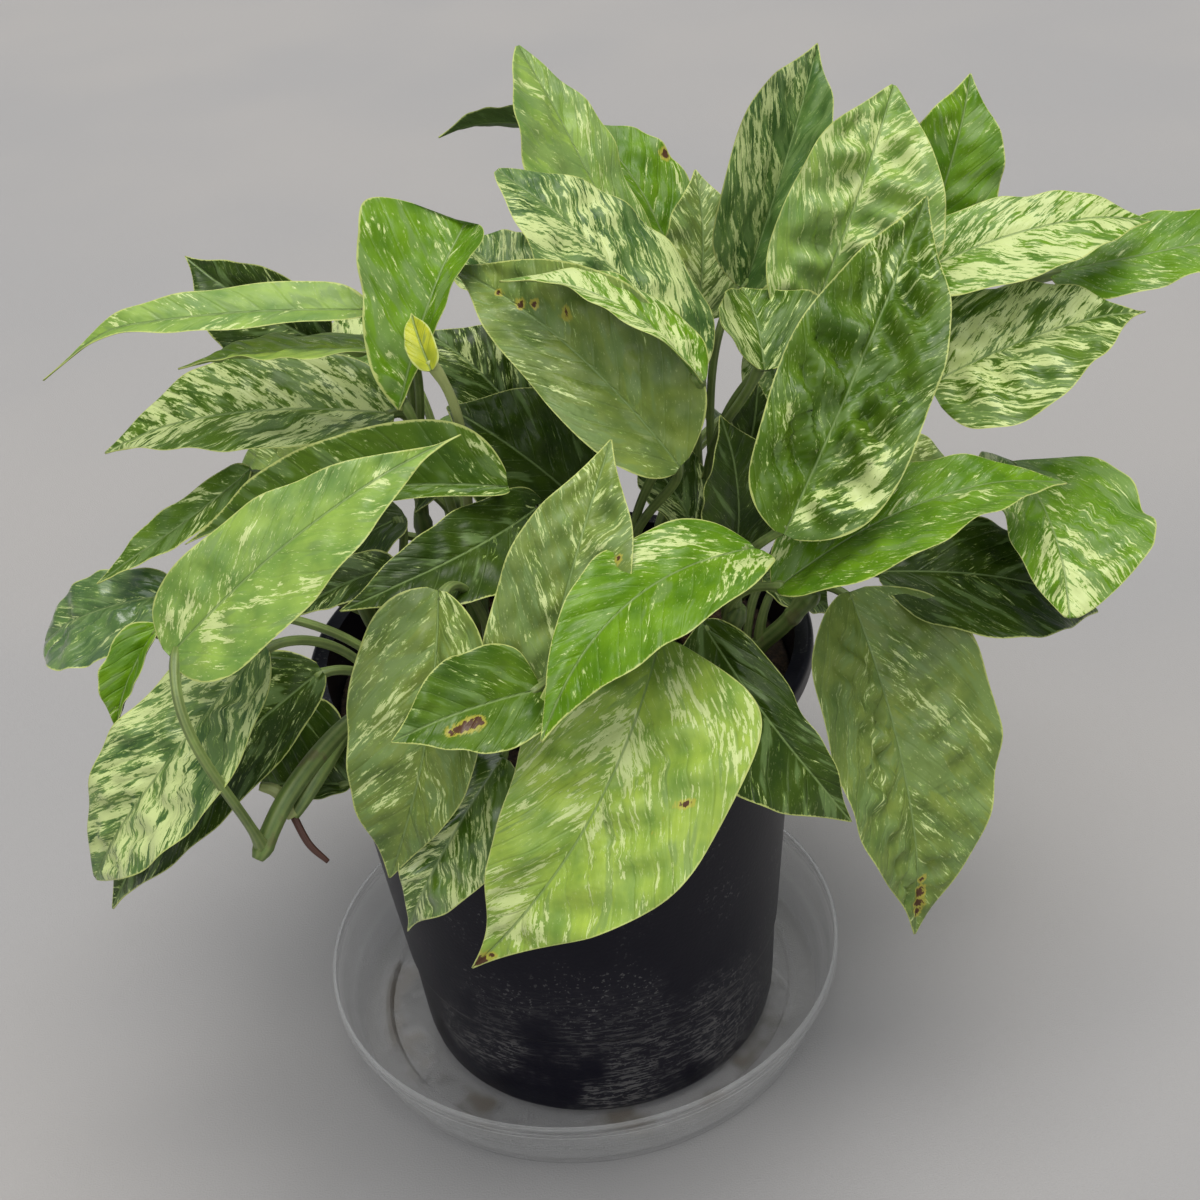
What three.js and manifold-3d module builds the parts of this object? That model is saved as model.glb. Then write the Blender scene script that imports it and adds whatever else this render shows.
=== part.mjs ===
// Potted Epipremnum pinnatum: a black nursery pot on a clear saucer, filled with potting mix that
// holds leafy stems with broad, marbled blades. Millimetres, +Z up, origin at the centre of the
// saucer's underside, on the surface that it stands on. +X is right and -Y is the plant's front.

import * as THREE from 'three';
import { mergeVertices } from 'three/addons/utils/BufferGeometryUtils.js';
import Module from 'manifold-3d';

const wasm = await Module();
wasm.setup();

// Room between two pieces that rest on or in each other
const GAP = 0.3;

// Saucer: foot, flaring wall with one step, and an upright lip band that stands out
const SAUCER_RIM_R = 101.5;
const SAUCER_FOOT_R = 93;
const SAUCER_H = 28.6;
const SAUCER_WALL = 1.4;
const SAUCER_FLARE = 1;
const SAUCER_STEP_Z = 12;
const SAUCER_STEP_OUT = 1.4;
const SAUCER_LIP_H = 5;
const SAUCER_LIP_OUT = 1.6;
const SAUCER_BEND_H = 1;
const SAUCER_RIDGE_H = 2.1;
const SAUCER_RIDGE_W = 3;
const SAUCER_RIDGE_RADII = [34, 58, 82];
const SAUCER_SIDES = 36;

// Pot: it stands on the saucer's ridges, a little off the middle
const POT_X = 4.5;
const POT_Y = -4.5;
const POT_FOOT_Z = SAUCER_WALL + SAUCER_RIDGE_H + GAP;
const POT_H = 171.5;
const POT_FOOT_R = 69;
const POT_TOP_R = 85.5;
const POT_WALL = 1.6;
const POT_FOOT_ROUND = 5;
const POT_FOOT_STEPS = 3;
const POT_LEDGE_Z = 42;
const POT_LEDGE_H = 2;
const POT_LEDGE_IN = 0.7;
const POT_RIM_R = 90.5;
const POT_RIM_H = 8;
const POT_RIM_ROUND = 2.2;
const POT_SIDES = 36;
const DRAIN_R = 5;
const DRAIN_RING_R = 50;
const DRAIN_COUNT = 6;
const DRAIN_SIDES = 12;

// Potting mix, and the holes that the stems stand in
const SOIL_TOP_Z = 158;
const SOIL_CROWN = 3;
const SOIL_EDGE_DROP = 1;
const SOIL_SHOULDER = 0.6;
const HOLE_DEPTH = 26;
const HOLE_CLEAR = 1.6;
const HOLE_SIDES = 8;

// Stems and petioles. A stem is straight up to COLLAR_H above the soil.
const STEM_R = 3;
const STEM_SIDES = 6;
const STEM_STEPS_PER_POINT = 2;
const COLLAR_H = 9;
const SHOOT_STEPS = 4;
const PETIOLE_R = 1.5;
const PETIOLE_SIDES = 5;
const PETIOLE_STEPS = 4;
const PETIOLE_ROOT = 4;
const PETIOLE_SINK = 0.9;
const PETIOLE_RISE = 0.45;
const PETIOLE_REACH = 0.25;
const ARRIVAL_ALONG = 1.2;

// Blades. A blade's face looks up, leans outwards by OUTWARD_LEAN and to the light in front by
// LIGHT_LEAN. Its outline grows with BASE_POWER of the way from its base and closes with TIP_POWER
// of the way to its tip. Rows run from base to tip and columns from edge to edge.
const BLADE_T = 0.8;
const BLADE_ROWS = [0, 0.08, 0.24, 0.45, 0.67, 0.86, 1];
const SMALL_BLADE_ROWS = [0, 0.1, 0.34, 0.66, 1];
const SMALL_BLADE_W = 38;
const BLADE_COLS = [-1, -0.52, 0, 0.52, 1];
const BASE_POWER = 0.62;
const TIP_POWER = 0.96;
const BLADE_WAVES = 1.6;
const WAVE_LAG = 0.25;
const LOBE_LENGTH = 0.42;
const OUTWARD_LEAN = 0.4;
const LIGHT_LEAN = 0.45;
const NORMAL_STEP = 0.02;

// A blade's form where its own row below says nothing else: roll about its length and fold along its
// midrib in degrees, arch out of its face, sway across it and lobe at its base as shares of its
// length, and the wave and cup of its edge as shares of its width
const BLADE_FORM = { roll: 0, fold: 15, arch: 0.1, sway: 0, lobe: 0.07, wave: 0.03, cup: 0 };

// Colours, roughness and the saucer's opacity
const CLEAR_PLASTIC = { color: 0xd8dcdc, roughness: 0.15, opacity: 0.35 };
const BLACK_PLASTIC = { color: 0x14151c, roughness: 0.45 };
const POTTING_MIX = { color: 0x3a2a1e, roughness: 0.95 };
const LEAF_GREEN = { color: 0x5f8f3c, roughness: 0.45 };

const UP = new THREE.Vector3(0, 0, 1);
const FRONT = new THREE.Vector3(0, -1, 0);
const vec = (p) => new THREE.Vector3(...p);
const radians = THREE.MathUtils.degToRad;

// Leafy stems. path is where a stem is rooted in the soil, as x and y, and the points that it climbs
// through. Each leaf's at is where its blade joins its petiole, tip is its point and width its
// width. from is how far up the stem its petiole starts, as a share of the stem's points, and bend
// pushes the petiole's middle aside. Shoots are cut ends and aerial roots.
const STEMS = {
  stem_crown_left: {
    path: [[8, 22], [12, 26, 190], [18, 30, 225]],
    leaves: {
      top: { at: [49, 33, 288], tip: [12, 80, 365], width: 42, arch: 0.06, sway: -0.06, from: 0.95 },
      top_behind: { at: [58, 75, 286], tip: [30, 108, 327], width: 40, from: 0.8 },
      marbled_top: { at: [61, 0, 273], tip: [2, 42, 337], width: 50, from: 0.9 },
      back_strip: { at: [22, 100, 326], tip: [-20, 92, 331], width: 16, roll: 50, from: 0.85 },
      marbled_behind: { at: [1, 60, 279], tip: [-17, 82, 296], width: 36, from: 0.7 },
      marbled_inner: { at: [2, 16, 250], tip: [-31, 38, 282], width: 37.5, from: 0.75 },
    },
  },
  stem_crown_mid: {
    path: [[22, -6], [28, -14, 190], [33, -20, 215]],
    leaves: {
      cream_edge: {
        at: [59, -48, 294], tip: [0, -22, 325],
        width: 32, roll: 36, fold: 8, arch: 0.22, from: 0.95,
      },
      big_centre: { at: [50, -50, 266], tip: [-17, 5, 314], width: 46, roll: -22, sway: 0.05, from: 0.9 },
      dark_centre: { at: [27, -2, 232], tip: [-10, 6, 274], width: 50, roll: -15, from: 0.6 },
      dark_right: { at: [68, -18, 212], tip: [67, -10, 262], width: 30, from: 0.4 },
    },
  },
  stem_crown_right: {
    path: [[48, 22], [58, 20, 190], [66, 18, 222]],
    leaves: {
      folded_top: { at: [79, 20, 292], tip: [114, 70, 358], width: 50, fold: 50, from: 0.95 },
      marbled_right: { at: [95, -5, 284], tip: [130, 38, 352], width: 60, arch: 0.08, from: 0.9 },
      pale_strip: { at: [64, 38, 274], tip: [69, 60, 321], width: 36, from: 0.8 },
      curled_small: { at: [80, -25, 284], tip: [77, 0, 312], width: 36, cup: 0.2, from: 0.85 },
      dark_inner: { at: [56, 2, 212], tip: [36, 24, 236], width: 32, from: 0.6 },
    },
  },
  stem_right_front: {
    path: [[52, -34], [60, -42, 190], [66, -50, 212]],
    leaves: {
      big_right: { at: [78, -75, 253], tip: [137, -5, 331], width: 56, arch: 0.05, from: 0.95 },
      bright_right: { at: [75, -70, 230], tip: [175, -42, 241], width: 46, roll: -30, arch: 0.12, from: 0.8 },
      dark_hanging: { at: [52, -66, 219], tip: [95, -100, 158], width: 42, from: 0.6 },
    },
  },
  stem_right_back: {
    path: [[68, 18], [84, 14, 186], [98, 10, 214]],
    leaves: {
      back_top_right: { at: [147, 60, 282], tip: [169, 82, 337], width: 40, from: 0.95 },
      striped_right: { at: [132, 15, 292], tip: [216, 30, 299], width: 38, from: 0.9 },
      far_right: { at: [185, 30, 282], tip: [262, 20, 295], width: 36, from: 0.85 },
      marbled_side: { at: [136, -5, 262], tip: [214, 10, 275], width: 68, from: 0.8 },
    },
  },
  stem_right_low: {
    path: [[70, -18], [84, -24, 186], [94, -28, 200]],
    leaves: {
      hanging_right: { at: [103, -40, 208], tip: [116, -90, 96], width: 66, from: 0.95 },
      dark_side: { at: [114, -30, 207], tip: [196, -20, 175], width: 46, from: 0.8 },
      inner_marbled: { at: [78, -8, 197], tip: [101, -14, 181], width: 24, from: 0.5 },
      turned_side: { at: [168, 5, 224], tip: [172, -65, 201], width: 66, from: 0.6 },
    },
  },
  stem_front: {
    path: [[22, -46], [26, -56, 186], [26, -64, 206]],
    leaves: {
      big_front: { at: [38, -90, 233], tip: [-32, -140, 149], width: 68, sway: -0.09, from: 0.9 },
      bright_front: { at: [70, -75, 250], tip: [-1, -136, 232], width: 42, sway: 0.12, roll: 20, from: 0.95 },
      upright_front: { at: [-5, -102, 210], tip: [29, -57, 284], width: 46, from: 0.7 },
      low_front: { at: [0, -105, 227], tip: [-44, -128, 231], width: 38, from: 0.5 },
    },
  },
  stem_front_left: {
    path: [[-10, -42], [-14, -52, 186], [-16, -58, 206]],
    leaves: {
      dark_front_left: { at: [5, -22, 243], tip: [-61, -70, 241], width: 36, from: 0.95 },
      wide_left: {
        at: [-4, -38, 259], tip: [-116, -25, 243],
        width: 44, roll: -20, sway: 0.06, arch: 0.2, fold: 25, from: 0.97,
      },
      hanging_left: { at: [-28, -80, 251], tip: [-56, -112, 164], width: 44, from: 0.8 },
      shiny_left: { at: [-14, -100, 200], tip: [-53, -114, 143], width: 46, from: 0.4 },
    },
  },
  vine_left: {
    path: [[-46, -36], [-52, -54, 188], [-64, -76, 200], [-82, -104, 196], [-93, -116, 182]],
    shoots: [
      { points: [[-64, -76, 200], [-75, -97, 194], [-82, -103, 187]], radius: 2.7 },
      { points: [[-82, -103, 187], [-86, -100, 195], [-91, -99, 197]], radius: 2.1 },
      { points: [[-82, -103, 187], [-78, -108, 179], [-73, -110, 173]], radius: 1.2 },
    ],
    leaves: {
      big_left: { at: [-107, -106, 253], tip: [-15, -74, 301], width: 50, bend: [0, -14, 0], from: 0.97 },
      small_folded: { at: [-125, -50, 229], tip: [-143, -66, 199], width: 26, fold: 40, from: 0.4 },
    },
  },
  stem_left_low: {
    path: [[-38, -56], [-48, -64, 190], [-54, -70, 204]],
    leaves: {
      marbled_low: { at: [-81, -90, 244], tip: [-150, -104, 171], width: 46, sway: -0.04, from: 0.95 },
      low_left: { at: [-68, -75, 222], tip: [-152, -92, 147], width: 42, from: 0.7 },
      dark_low: { at: [-66, -82, 180], tip: [-98, -72, 176], width: 34, from: 0.4 },
    },
  },
  stem_left_mid: {
    path: [[-50, -4], [-58, -10, 190], [-62, -14, 210]],
    leaves: {
      dark_left: { at: [-92, 0, 255], tip: [-152, -10, 223], width: 30, from: 0.7 },
      shiny_far_left: { at: [-125, -10, 228], tip: [-178, 0, 195], width: 42, from: 0.5 },
    },
  },
  stem_left_top: {
    path: [[-32, 20], [-38, 20, 192], [-40, 18, 222]],
    leaves: {
      marbled_left: { at: [-41, 5, 267], tip: [-143, 20, 257], width: 42, from: 0.85 },
      long_left: { at: [-43, 2, 307], tip: [-154, 0, 297], width: 32, roll: 55, from: 0.95 },
      thin_left: { at: [-36, -2, 294], tip: [-108, -5, 299], width: 28, roll: 30, from: 0.9 },
      dark_top_left: { at: [-64, 35, 280], tip: [-107, 52, 312], width: 48, roll: -40, from: 0.8 },
    },
  },
  stem_curled: {
    path: [[-18, -10], [-22, -14, 190], [-24, -16, 214]],
    leaves: {
      curled_left: {
        at: [-37, -26, 284], tip: [-9, 0, 336],
        width: 52, sway: -0.14, fold: 35, cup: 0.1, from: 0.95,
      },
      yellow_young: { at: [-24, -36, 303], tip: [-30, -20, 312], width: 14, from: 0.8 },
    },
  },
  stem_back_left: {
    path: [[-25, 46], [-30, 52, 186], [-32, 56, 206]],
    leaves: {
      back_left_upper: { at: [-42, 75, 250], tip: [-88, 135, 232], width: 50, from: 0.95 },
      back_left_side: { at: [-60, 60, 216], tip: [-128, 95, 190], width: 50, from: 0.8 },
      back_left_low: { at: [-32, 88, 214], tip: [-50, 148, 160], width: 52, from: 0.6 },
      back_left_wide: { at: [-76, 38, 202], tip: [-146, 50, 160], width: 46, from: 0.5 },
    },
  },
  stem_back: {
    path: [[12, 56], [12, 64, 186], [12, 68, 208]],
    leaves: {
      back_upper: { at: [10, 92, 258], tip: [4, 156, 252], width: 52, from: 0.95 },
      back_low: { at: [-6, 98, 222], tip: [-12, 164, 186], width: 54, from: 0.7 },
      back_low_right: { at: [26, 98, 214], tip: [28, 160, 158], width: 50, from: 0.5 },
    },
  },
  stem_back_right: {
    path: [[42, 46], [50, 54, 186], [56, 58, 208]],
    leaves: {
      back_right_upper: { at: [70, 82, 258], tip: [108, 138, 254], width: 52, from: 0.95 },
      back_right_side: { at: [84, 76, 220], tip: [140, 116, 184], width: 54, from: 0.8 },
      back_right_wide: { at: [100, 52, 206], tip: [172, 66, 166], width: 50, from: 0.65 },
      back_right_low: { at: [72, 92, 200], tip: [96, 140, 142], width: 46, from: 0.5 },
    },
  },
};

// Turns a closed geometry into a solid whose faces point out
function solidOf(geometry) {
  const bare = geometry.clone();
  bare.deleteAttribute('normal');
  bare.deleteAttribute('uv');
  const merged = mergeVertices(bare, 1e-4);
  const vertProperties = new Float32Array(merged.attributes.position.array);
  const triVerts = new Uint32Array(merged.index.array);
  const solid = new wasm.Manifold(new wasm.Mesh({ numProp: 3, vertProperties, triVerts }));
  if (solid.volume() > 0) return solid;
  for (let i = 0; i < triVerts.length; i += 3) {
    [triVerts[i], triVerts[i + 1]] = [triVerts[i + 1], triVerts[i]];
  }
  return new wasm.Manifold(new wasm.Mesh({ numProp: 3, vertProperties, triVerts }));
}

// Turns a solid back into a geometry
function geometryOf(solid) {
  const { numProp, vertProperties, triVerts } = solid.getMesh();
  const positions = new Float32Array((vertProperties.length / numProp) * 3);
  for (let i = 0; i < positions.length / 3; i += 1) {
    for (let k = 0; k < 3; k += 1) positions[i * 3 + k] = vertProperties[i * numProp + k];
  }
  const geometry = new THREE.BufferGeometry();
  geometry.setAttribute('position', new THREE.BufferAttribute(positions, 3));
  geometry.setIndex(new THREE.BufferAttribute(new Uint32Array(triVerts), 1));
  geometry.computeVertexNormals();
  return geometry;
}

// A turned body from [radius, height] points, with its axis along +Z
function turned(points, sides) {
  const profile = points.map(([r, z]) => new THREE.Vector2(r, z));
  return new THREE.LatheGeometry(profile, sides).rotateX(Math.PI / 2);
}

// An upright cylinder from height low to height high
function upright(radius, low, high, sides) {
  const cylinder = new THREE.CylinderGeometry(radius, radius, high - low, sides);
  return cylinder.rotateX(Math.PI / 2).translate(0, 0, (low + high) / 2);
}

// A rod of the given number of sides along a curve
function rod(curve, radius, sides, steps) {
  const ring = [];
  for (let i = 0; i < sides; i += 1) {
    const angle = (i / sides) * 2 * Math.PI;
    ring.push(new THREE.Vector2(radius * Math.cos(angle), radius * Math.sin(angle)));
  }
  const options = { steps, bevelEnabled: false, extrudePath: curve };
  return new THREE.ExtrudeGeometry(new THREE.Shape(ring), options);
}

// The three axes of a blade: along it, out of its face and across it
function bladeAxes(at, tip, roll) {
  const along = tip.clone().sub(at).normalize();
  const outward = at.clone().add(tip).setZ(0).normalize();
  const face = UP.clone().addScaledVector(outward, OUTWARD_LEAN).addScaledVector(FRONT, LIGHT_LEAN);
  face.addScaledVector(along, -face.dot(along)).normalize();
  face.applyAxisAngle(along, radians(roll));
  return { along, face, across: along.clone().cross(face) };
}

// Half-width of a blade as a share of its widest, from 0 at the base through 1 to 0 at the tip
function bladeOutline(u) {
  const widest = BASE_POWER / (BASE_POWER + TIP_POWER);
  return (u / widest) ** BASE_POWER * ((1 - u) / (1 - widest)) ** TIP_POWER;
}

// A point of a blade's middle surface: u runs from base to tip, v from one edge to the other. The
// midrib bows out of the face and across it, each half rises from it by the fold, the edge waves
// and cups, and the base's two lobes reach back past the petiole.
function bladePoint(leaf, u, v) {
  const { axes, width, length } = leaf;
  const bow = 4 * u * (1 - u);
  const half = (width / 2) * bladeOutline(u);
  const turns = BLADE_WAVES * u + (v > 0 ? WAVE_LAG : 0);
  const wave = leaf.wave * width * Math.sin(Math.PI * u) * Math.sin(2 * Math.PI * turns);
  const edge = (wave + leaf.cup * width * bladeOutline(u)) * v * v;
  const lobe = leaf.lobe * length * Math.sin(Math.PI * Math.min(u / LOBE_LENGTH, 1)) * v * v;
  const fold = radians(leaf.fold);
  return leaf.at.clone()
    .addScaledVector(axes.along, length * u - lobe)
    .addScaledVector(axes.face, leaf.arch * length * bow + half * Math.abs(v) * Math.sin(fold) + edge)
    .addScaledVector(axes.across, leaf.sway * length * bow + half * v * Math.cos(fold));
}

// Out-of-face direction of a blade's surface at u, v
function bladeNormal(leaf, u, v) {
  const e = NORMAL_STEP;
  const u0 = THREE.MathUtils.clamp(u, 2 * e, 1 - 2 * e);
  const v0 = THREE.MathUtils.clamp(v, e - 1, 1 - e);
  const du = bladePoint(leaf, u0 + e, v).sub(bladePoint(leaf, u0 - e, v));
  const dv = bladePoint(leaf, u0, v0 + e).sub(bladePoint(leaf, u0, v0 - e));
  const normal = du.cross(dv).normalize();
  return normal.dot(leaf.axes.face) < 0 ? normal.negate() : normal;
}

// A blade's closed solid: two like faces of the same triangles, joined by a wall round the edge
function blade(leaf) {
  const shares = leaf.width < SMALL_BLADE_W ? SMALL_BLADE_ROWS : BLADE_ROWS;
  const last = { row: shares.length - 1, col: BLADE_COLS.length - 1 };
  const middle = last.col / 2;
  const faces = [1, -1].map((sign) => shares.map((u) => BLADE_COLS.map((v) => {
    const shift = (sign * BLADE_T) / 2;
    return bladePoint(leaf, u, v).addScaledVector(bladeNormal(leaf, u, v), shift);
  })));
  for (const face of faces) {
    face[0].fill(face[0][middle]);
    face[last.row].fill(face[last.row][middle]);
  }
  const positions = [];
  const triangle = (p, q, r) => {
    if (p === q || q === r || r === p) return;
    for (const corner of [p, q, r]) positions.push(corner.x, corner.y, corner.z);
  };
  const pair = (first, second, flip) => {
    for (const [p, q, r] of [first, second]) triangle(...(flip ? [p, r, q] : [p, q, r]));
  };
  const [top, under] = faces;
  for (let i = 0; i < last.row; i += 1) {
    for (let j = 0; j < last.col; j += 1) {
      for (const face of faces) {
        const [a, b, c, d] = [face[i][j], face[i + 1][j], face[i + 1][j + 1], face[i][j + 1]];
        if (j < middle) pair([a, b, c], [a, c, d], face === top);
        else pair([a, b, d], [b, c, d], face === top);
      }
    }
    for (const j of [0, last.col]) {
      const [a, b, c, d] = [top[i][j], top[i + 1][j], under[i + 1][j], under[i][j]];
      pair([a, b, c], [a, c, d], j === last.col);
    }
  }
  const geometry = new THREE.BufferGeometry();
  geometry.setAttribute('position', new THREE.BufferAttribute(new Float32Array(positions), 3));
  return geometry;
}

// A petiole from its stem to its blade: it rises, bends outwards, and ends under the blade's base
function petiole(leaf, start) {
  const end = bladePoint(leaf, PETIOLE_ROOT / leaf.length, 0);
  end.addScaledVector(leaf.axes.face, -PETIOLE_SINK);
  const reach = end.distanceTo(start);
  const arrival = end.clone().sub(start).setZ(0).normalize();
  arrival.addScaledVector(leaf.axes.along, ARRIVAL_ALONG).normalize();
  const bend = vec(leaf.bend ?? [0, 0, 0]);
  const first = start.clone().addScaledVector(UP, reach * PETIOLE_RISE).add(bend);
  const second = end.clone().addScaledVector(arrival, -reach * PETIOLE_REACH).add(bend);
  const curve = new THREE.CubicBezierCurve3(start, first, second, end);
  return rod(curve, PETIOLE_R, PETIOLE_SIDES, PETIOLE_STEPS);
}

// A stem's curve: straight up out of its hole, then through the points of its path
function stemCurve(path) {
  const [[x, y], ...rest] = path;
  const heights = [SOIL_TOP_Z - HOLE_DEPTH + GAP, SOIL_TOP_Z, SOIL_TOP_Z + COLLAR_H];
  const straight = heights.map((z) => new THREE.Vector3(x, y, z));
  return new THREE.CatmullRomCurve3([...straight, ...rest.map(vec)], false, 'centripetal');
}

// A leafy stem in one solid: the stem, its shoots, and each leaf's petiole and blade
function leafyStem({ path, shoots = [], leaves }) {
  const curve = stemCurve(path);
  let body = solidOf(rod(curve, STEM_R, STEM_SIDES, STEM_STEPS_PER_POINT * path.length));
  for (const { points, radius } of shoots) {
    const shoot = new THREE.CatmullRomCurve3(points.map(vec));
    body = body.add(solidOf(rod(shoot, radius, STEM_SIDES, SHOOT_STEPS)));
  }
  for (const row of Object.values(leaves)) {
    const leaf = { ...BLADE_FORM, ...row, at: vec(row.at), tip: vec(row.tip) };
    leaf.length = leaf.tip.distanceTo(leaf.at);
    leaf.axes = bladeAxes(leaf.at, leaf.tip, leaf.roll);
    body = body.add(solidOf(petiole(leaf, curve.getPoint(leaf.from))));
    body = body.add(solidOf(blade(leaf)));
  }
  return body;
}

// Saucer: a floor with ring ridges, a stepped wall and a wide lip band
function saucer() {
  const floor = [[0, SAUCER_WALL]];
  for (const r of SAUCER_RIDGE_RADII) {
    const half = SAUCER_RIDGE_W / 2;
    const crest = SAUCER_WALL + SAUCER_RIDGE_H;
    floor.push([r - half, SAUCER_WALL], [r, crest], [r + half, SAUCER_WALL]);
  }
  const lipZ = SAUCER_H - SAUCER_LIP_H;
  const underLipR = SAUCER_RIM_R - SAUCER_LIP_OUT;
  const stepR = SAUCER_FOOT_R + SAUCER_FLARE;
  const wall = [
    [SAUCER_FOOT_R - SAUCER_WALL, SAUCER_WALL],
    [stepR, SAUCER_STEP_Z],
    [stepR + SAUCER_STEP_OUT, SAUCER_STEP_Z + SAUCER_BEND_H],
    [underLipR - SAUCER_WALL, lipZ],
    [SAUCER_RIM_R - SAUCER_WALL, lipZ + SAUCER_BEND_H],
    [SAUCER_RIM_R - SAUCER_WALL, SAUCER_H],
    [SAUCER_RIM_R, SAUCER_H],
    [SAUCER_RIM_R, lipZ],
    [underLipR, lipZ - SAUCER_BEND_H],
    [stepR + SAUCER_STEP_OUT + SAUCER_WALL, SAUCER_STEP_Z],
    [stepR + SAUCER_WALL, SAUCER_STEP_Z - SAUCER_BEND_H],
    [SAUCER_FOOT_R, 0],
    [0, 0],
  ];
  return solidOf(turned([...floor, ...wall], SAUCER_SIDES));
}

// Outer radius of the pot's wall at height z above its foot
function potRadius(z) {
  return POT_FOOT_R + ((POT_TOP_R - POT_FOOT_R) * z) / POT_H;
}

// Pot: a rounded foot, a tapered wall with a faint ledge, a rolled rim and drain holes in its floor
function pot() {
  const foot = [];
  for (let i = 0; i <= POT_FOOT_STEPS; i += 1) {
    const angle = (i / POT_FOOT_STEPS) * (Math.PI / 2);
    const r = potRadius(0) - POT_FOOT_ROUND * (1 - Math.sin(angle));
    foot.push([r, POT_FOOT_ROUND * (1 - Math.cos(angle))]);
  }
  const rimZ = POT_H - POT_RIM_H;
  const profile = [
    [0, 0],
    ...foot,
    [potRadius(POT_LEDGE_Z) - POT_LEDGE_IN, POT_LEDGE_Z],
    [potRadius(POT_LEDGE_Z + POT_LEDGE_H), POT_LEDGE_Z + POT_LEDGE_H],
    [potRadius(rimZ), rimZ],
    [POT_RIM_R - POT_WALL / 2, rimZ],
    [POT_RIM_R, rimZ + POT_RIM_ROUND],
    [POT_RIM_R, POT_H - POT_RIM_ROUND],
    [POT_RIM_R - POT_RIM_ROUND, POT_H],
    [potRadius(POT_H) - POT_WALL, POT_H],
    [potRadius(POT_WALL) - POT_WALL, POT_WALL],
    [0, POT_WALL],
  ];
  let body = solidOf(turned(profile, POT_SIDES));
  for (let i = 0; i < DRAIN_COUNT; i += 1) {
    const angle = (i / DRAIN_COUNT) * 2 * Math.PI;
    const drain = upright(DRAIN_R, -POT_WALL, 2 * POT_WALL, DRAIN_SIDES);
    drain.translate(DRAIN_RING_R * Math.cos(angle), DRAIN_RING_R * Math.sin(angle), 0);
    body = body.subtract(solidOf(drain));
  }
  return body.translate([POT_X, POT_Y, POT_FOOT_Z]);
}

// Potting mix: it fills the pot's inside, with a slightly domed top and a hole for each stem
function soil() {
  const bottom = POT_WALL + GAP;
  const top = SOIL_TOP_Z - POT_FOOT_Z;
  const radius = (z) => potRadius(z) - POT_WALL - GAP;
  const profile = [
    [0, bottom],
    [radius(bottom), bottom],
    [radius(top), top - SOIL_EDGE_DROP],
    [radius(top) * SOIL_SHOULDER, top + SOIL_CROWN * SOIL_SHOULDER],
    [0, top + SOIL_CROWN],
  ];
  let body = solidOf(turned(profile, POT_SIDES)).translate([POT_X, POT_Y, POT_FOOT_Z]);
  for (const { path: [[x, y]] } of Object.values(STEMS)) {
    const above = SOIL_TOP_Z + 2 * SOIL_CROWN;
    const hole = upright(STEM_R + HOLE_CLEAR, SOIL_TOP_Z - HOLE_DEPTH, above, HOLE_SIDES);
    body = body.subtract(solidOf(hole.translate(x, y, 0)));
  }
  return body;
}

const group = new THREE.Group();

// Adds a solid to the plant as a named mesh with its own finish
function add(name, solid, { color, roughness, opacity = 1 }) {
  const finish = { color, roughness, metalness: 0, opacity, transparent: opacity < 1 };
  const mesh = new THREE.Mesh(geometryOf(solid), new THREE.MeshStandardMaterial(finish));
  mesh.name = name;
  group.add(mesh);
}

add('saucer', saucer(), CLEAR_PLASTIC);
add('pot', pot(), BLACK_PLASTIC);
add('soil', soil(), POTTING_MIX);
for (const [name, stem] of Object.entries(STEMS)) add(name, leafyStem(stem), LEAF_GREEN);

export default group;
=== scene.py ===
"""Potted Epipremnum pinnatum: its marbled blades, stalks, potting mix, black pot and clear saucer.

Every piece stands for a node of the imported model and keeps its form. Sizes are millimetres in the
tables and metres in the meshes. +Z is up, and the plant's front looks towards -Y.
"""

from __future__ import annotations

import logging
import math
from dataclasses import dataclass, field
from enum import Enum
from functools import reduce

import bpy
import numpy as np
from mathutils import Matrix

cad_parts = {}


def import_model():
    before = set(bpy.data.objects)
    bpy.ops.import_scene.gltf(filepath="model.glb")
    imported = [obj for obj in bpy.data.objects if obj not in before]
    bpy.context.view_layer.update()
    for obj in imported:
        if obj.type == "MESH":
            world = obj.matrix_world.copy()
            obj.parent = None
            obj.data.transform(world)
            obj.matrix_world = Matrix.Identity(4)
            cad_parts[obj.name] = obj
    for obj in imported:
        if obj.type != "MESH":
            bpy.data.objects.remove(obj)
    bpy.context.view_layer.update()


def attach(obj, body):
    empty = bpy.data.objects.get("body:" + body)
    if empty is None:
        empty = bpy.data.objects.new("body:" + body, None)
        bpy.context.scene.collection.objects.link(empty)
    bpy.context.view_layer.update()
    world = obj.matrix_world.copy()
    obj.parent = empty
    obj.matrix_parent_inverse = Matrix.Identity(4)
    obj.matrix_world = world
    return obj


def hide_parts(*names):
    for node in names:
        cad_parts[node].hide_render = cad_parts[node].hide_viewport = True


logging.basicConfig(level=logging.INFO, format="%(message)s")
LOG = logging.getLogger("plant")

Colour = Place = tuple[float, float, float]
Span = tuple[float, float]

MM = 0.001
MM_PER_CM = 10.0
UP = np.array([0.0, 0.0, 1.0])
FRONT = np.array([0.0, -1.0, 0.0])
LEVEL = np.array([1.0, 1.0, 0.0])


# Small sums on vectors and numbers


def unit(vector: np.ndarray) -> np.ndarray:
    """Scale vectors to length 1.

    Args:
        vector: One vector, or an array of them along the last axis.

    Returns:
        The same vectors, each divided by its length.
    """
    length = np.linalg.norm(vector, axis=-1, keepdims=True)
    return vector / np.maximum(length, 1e-12)


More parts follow.
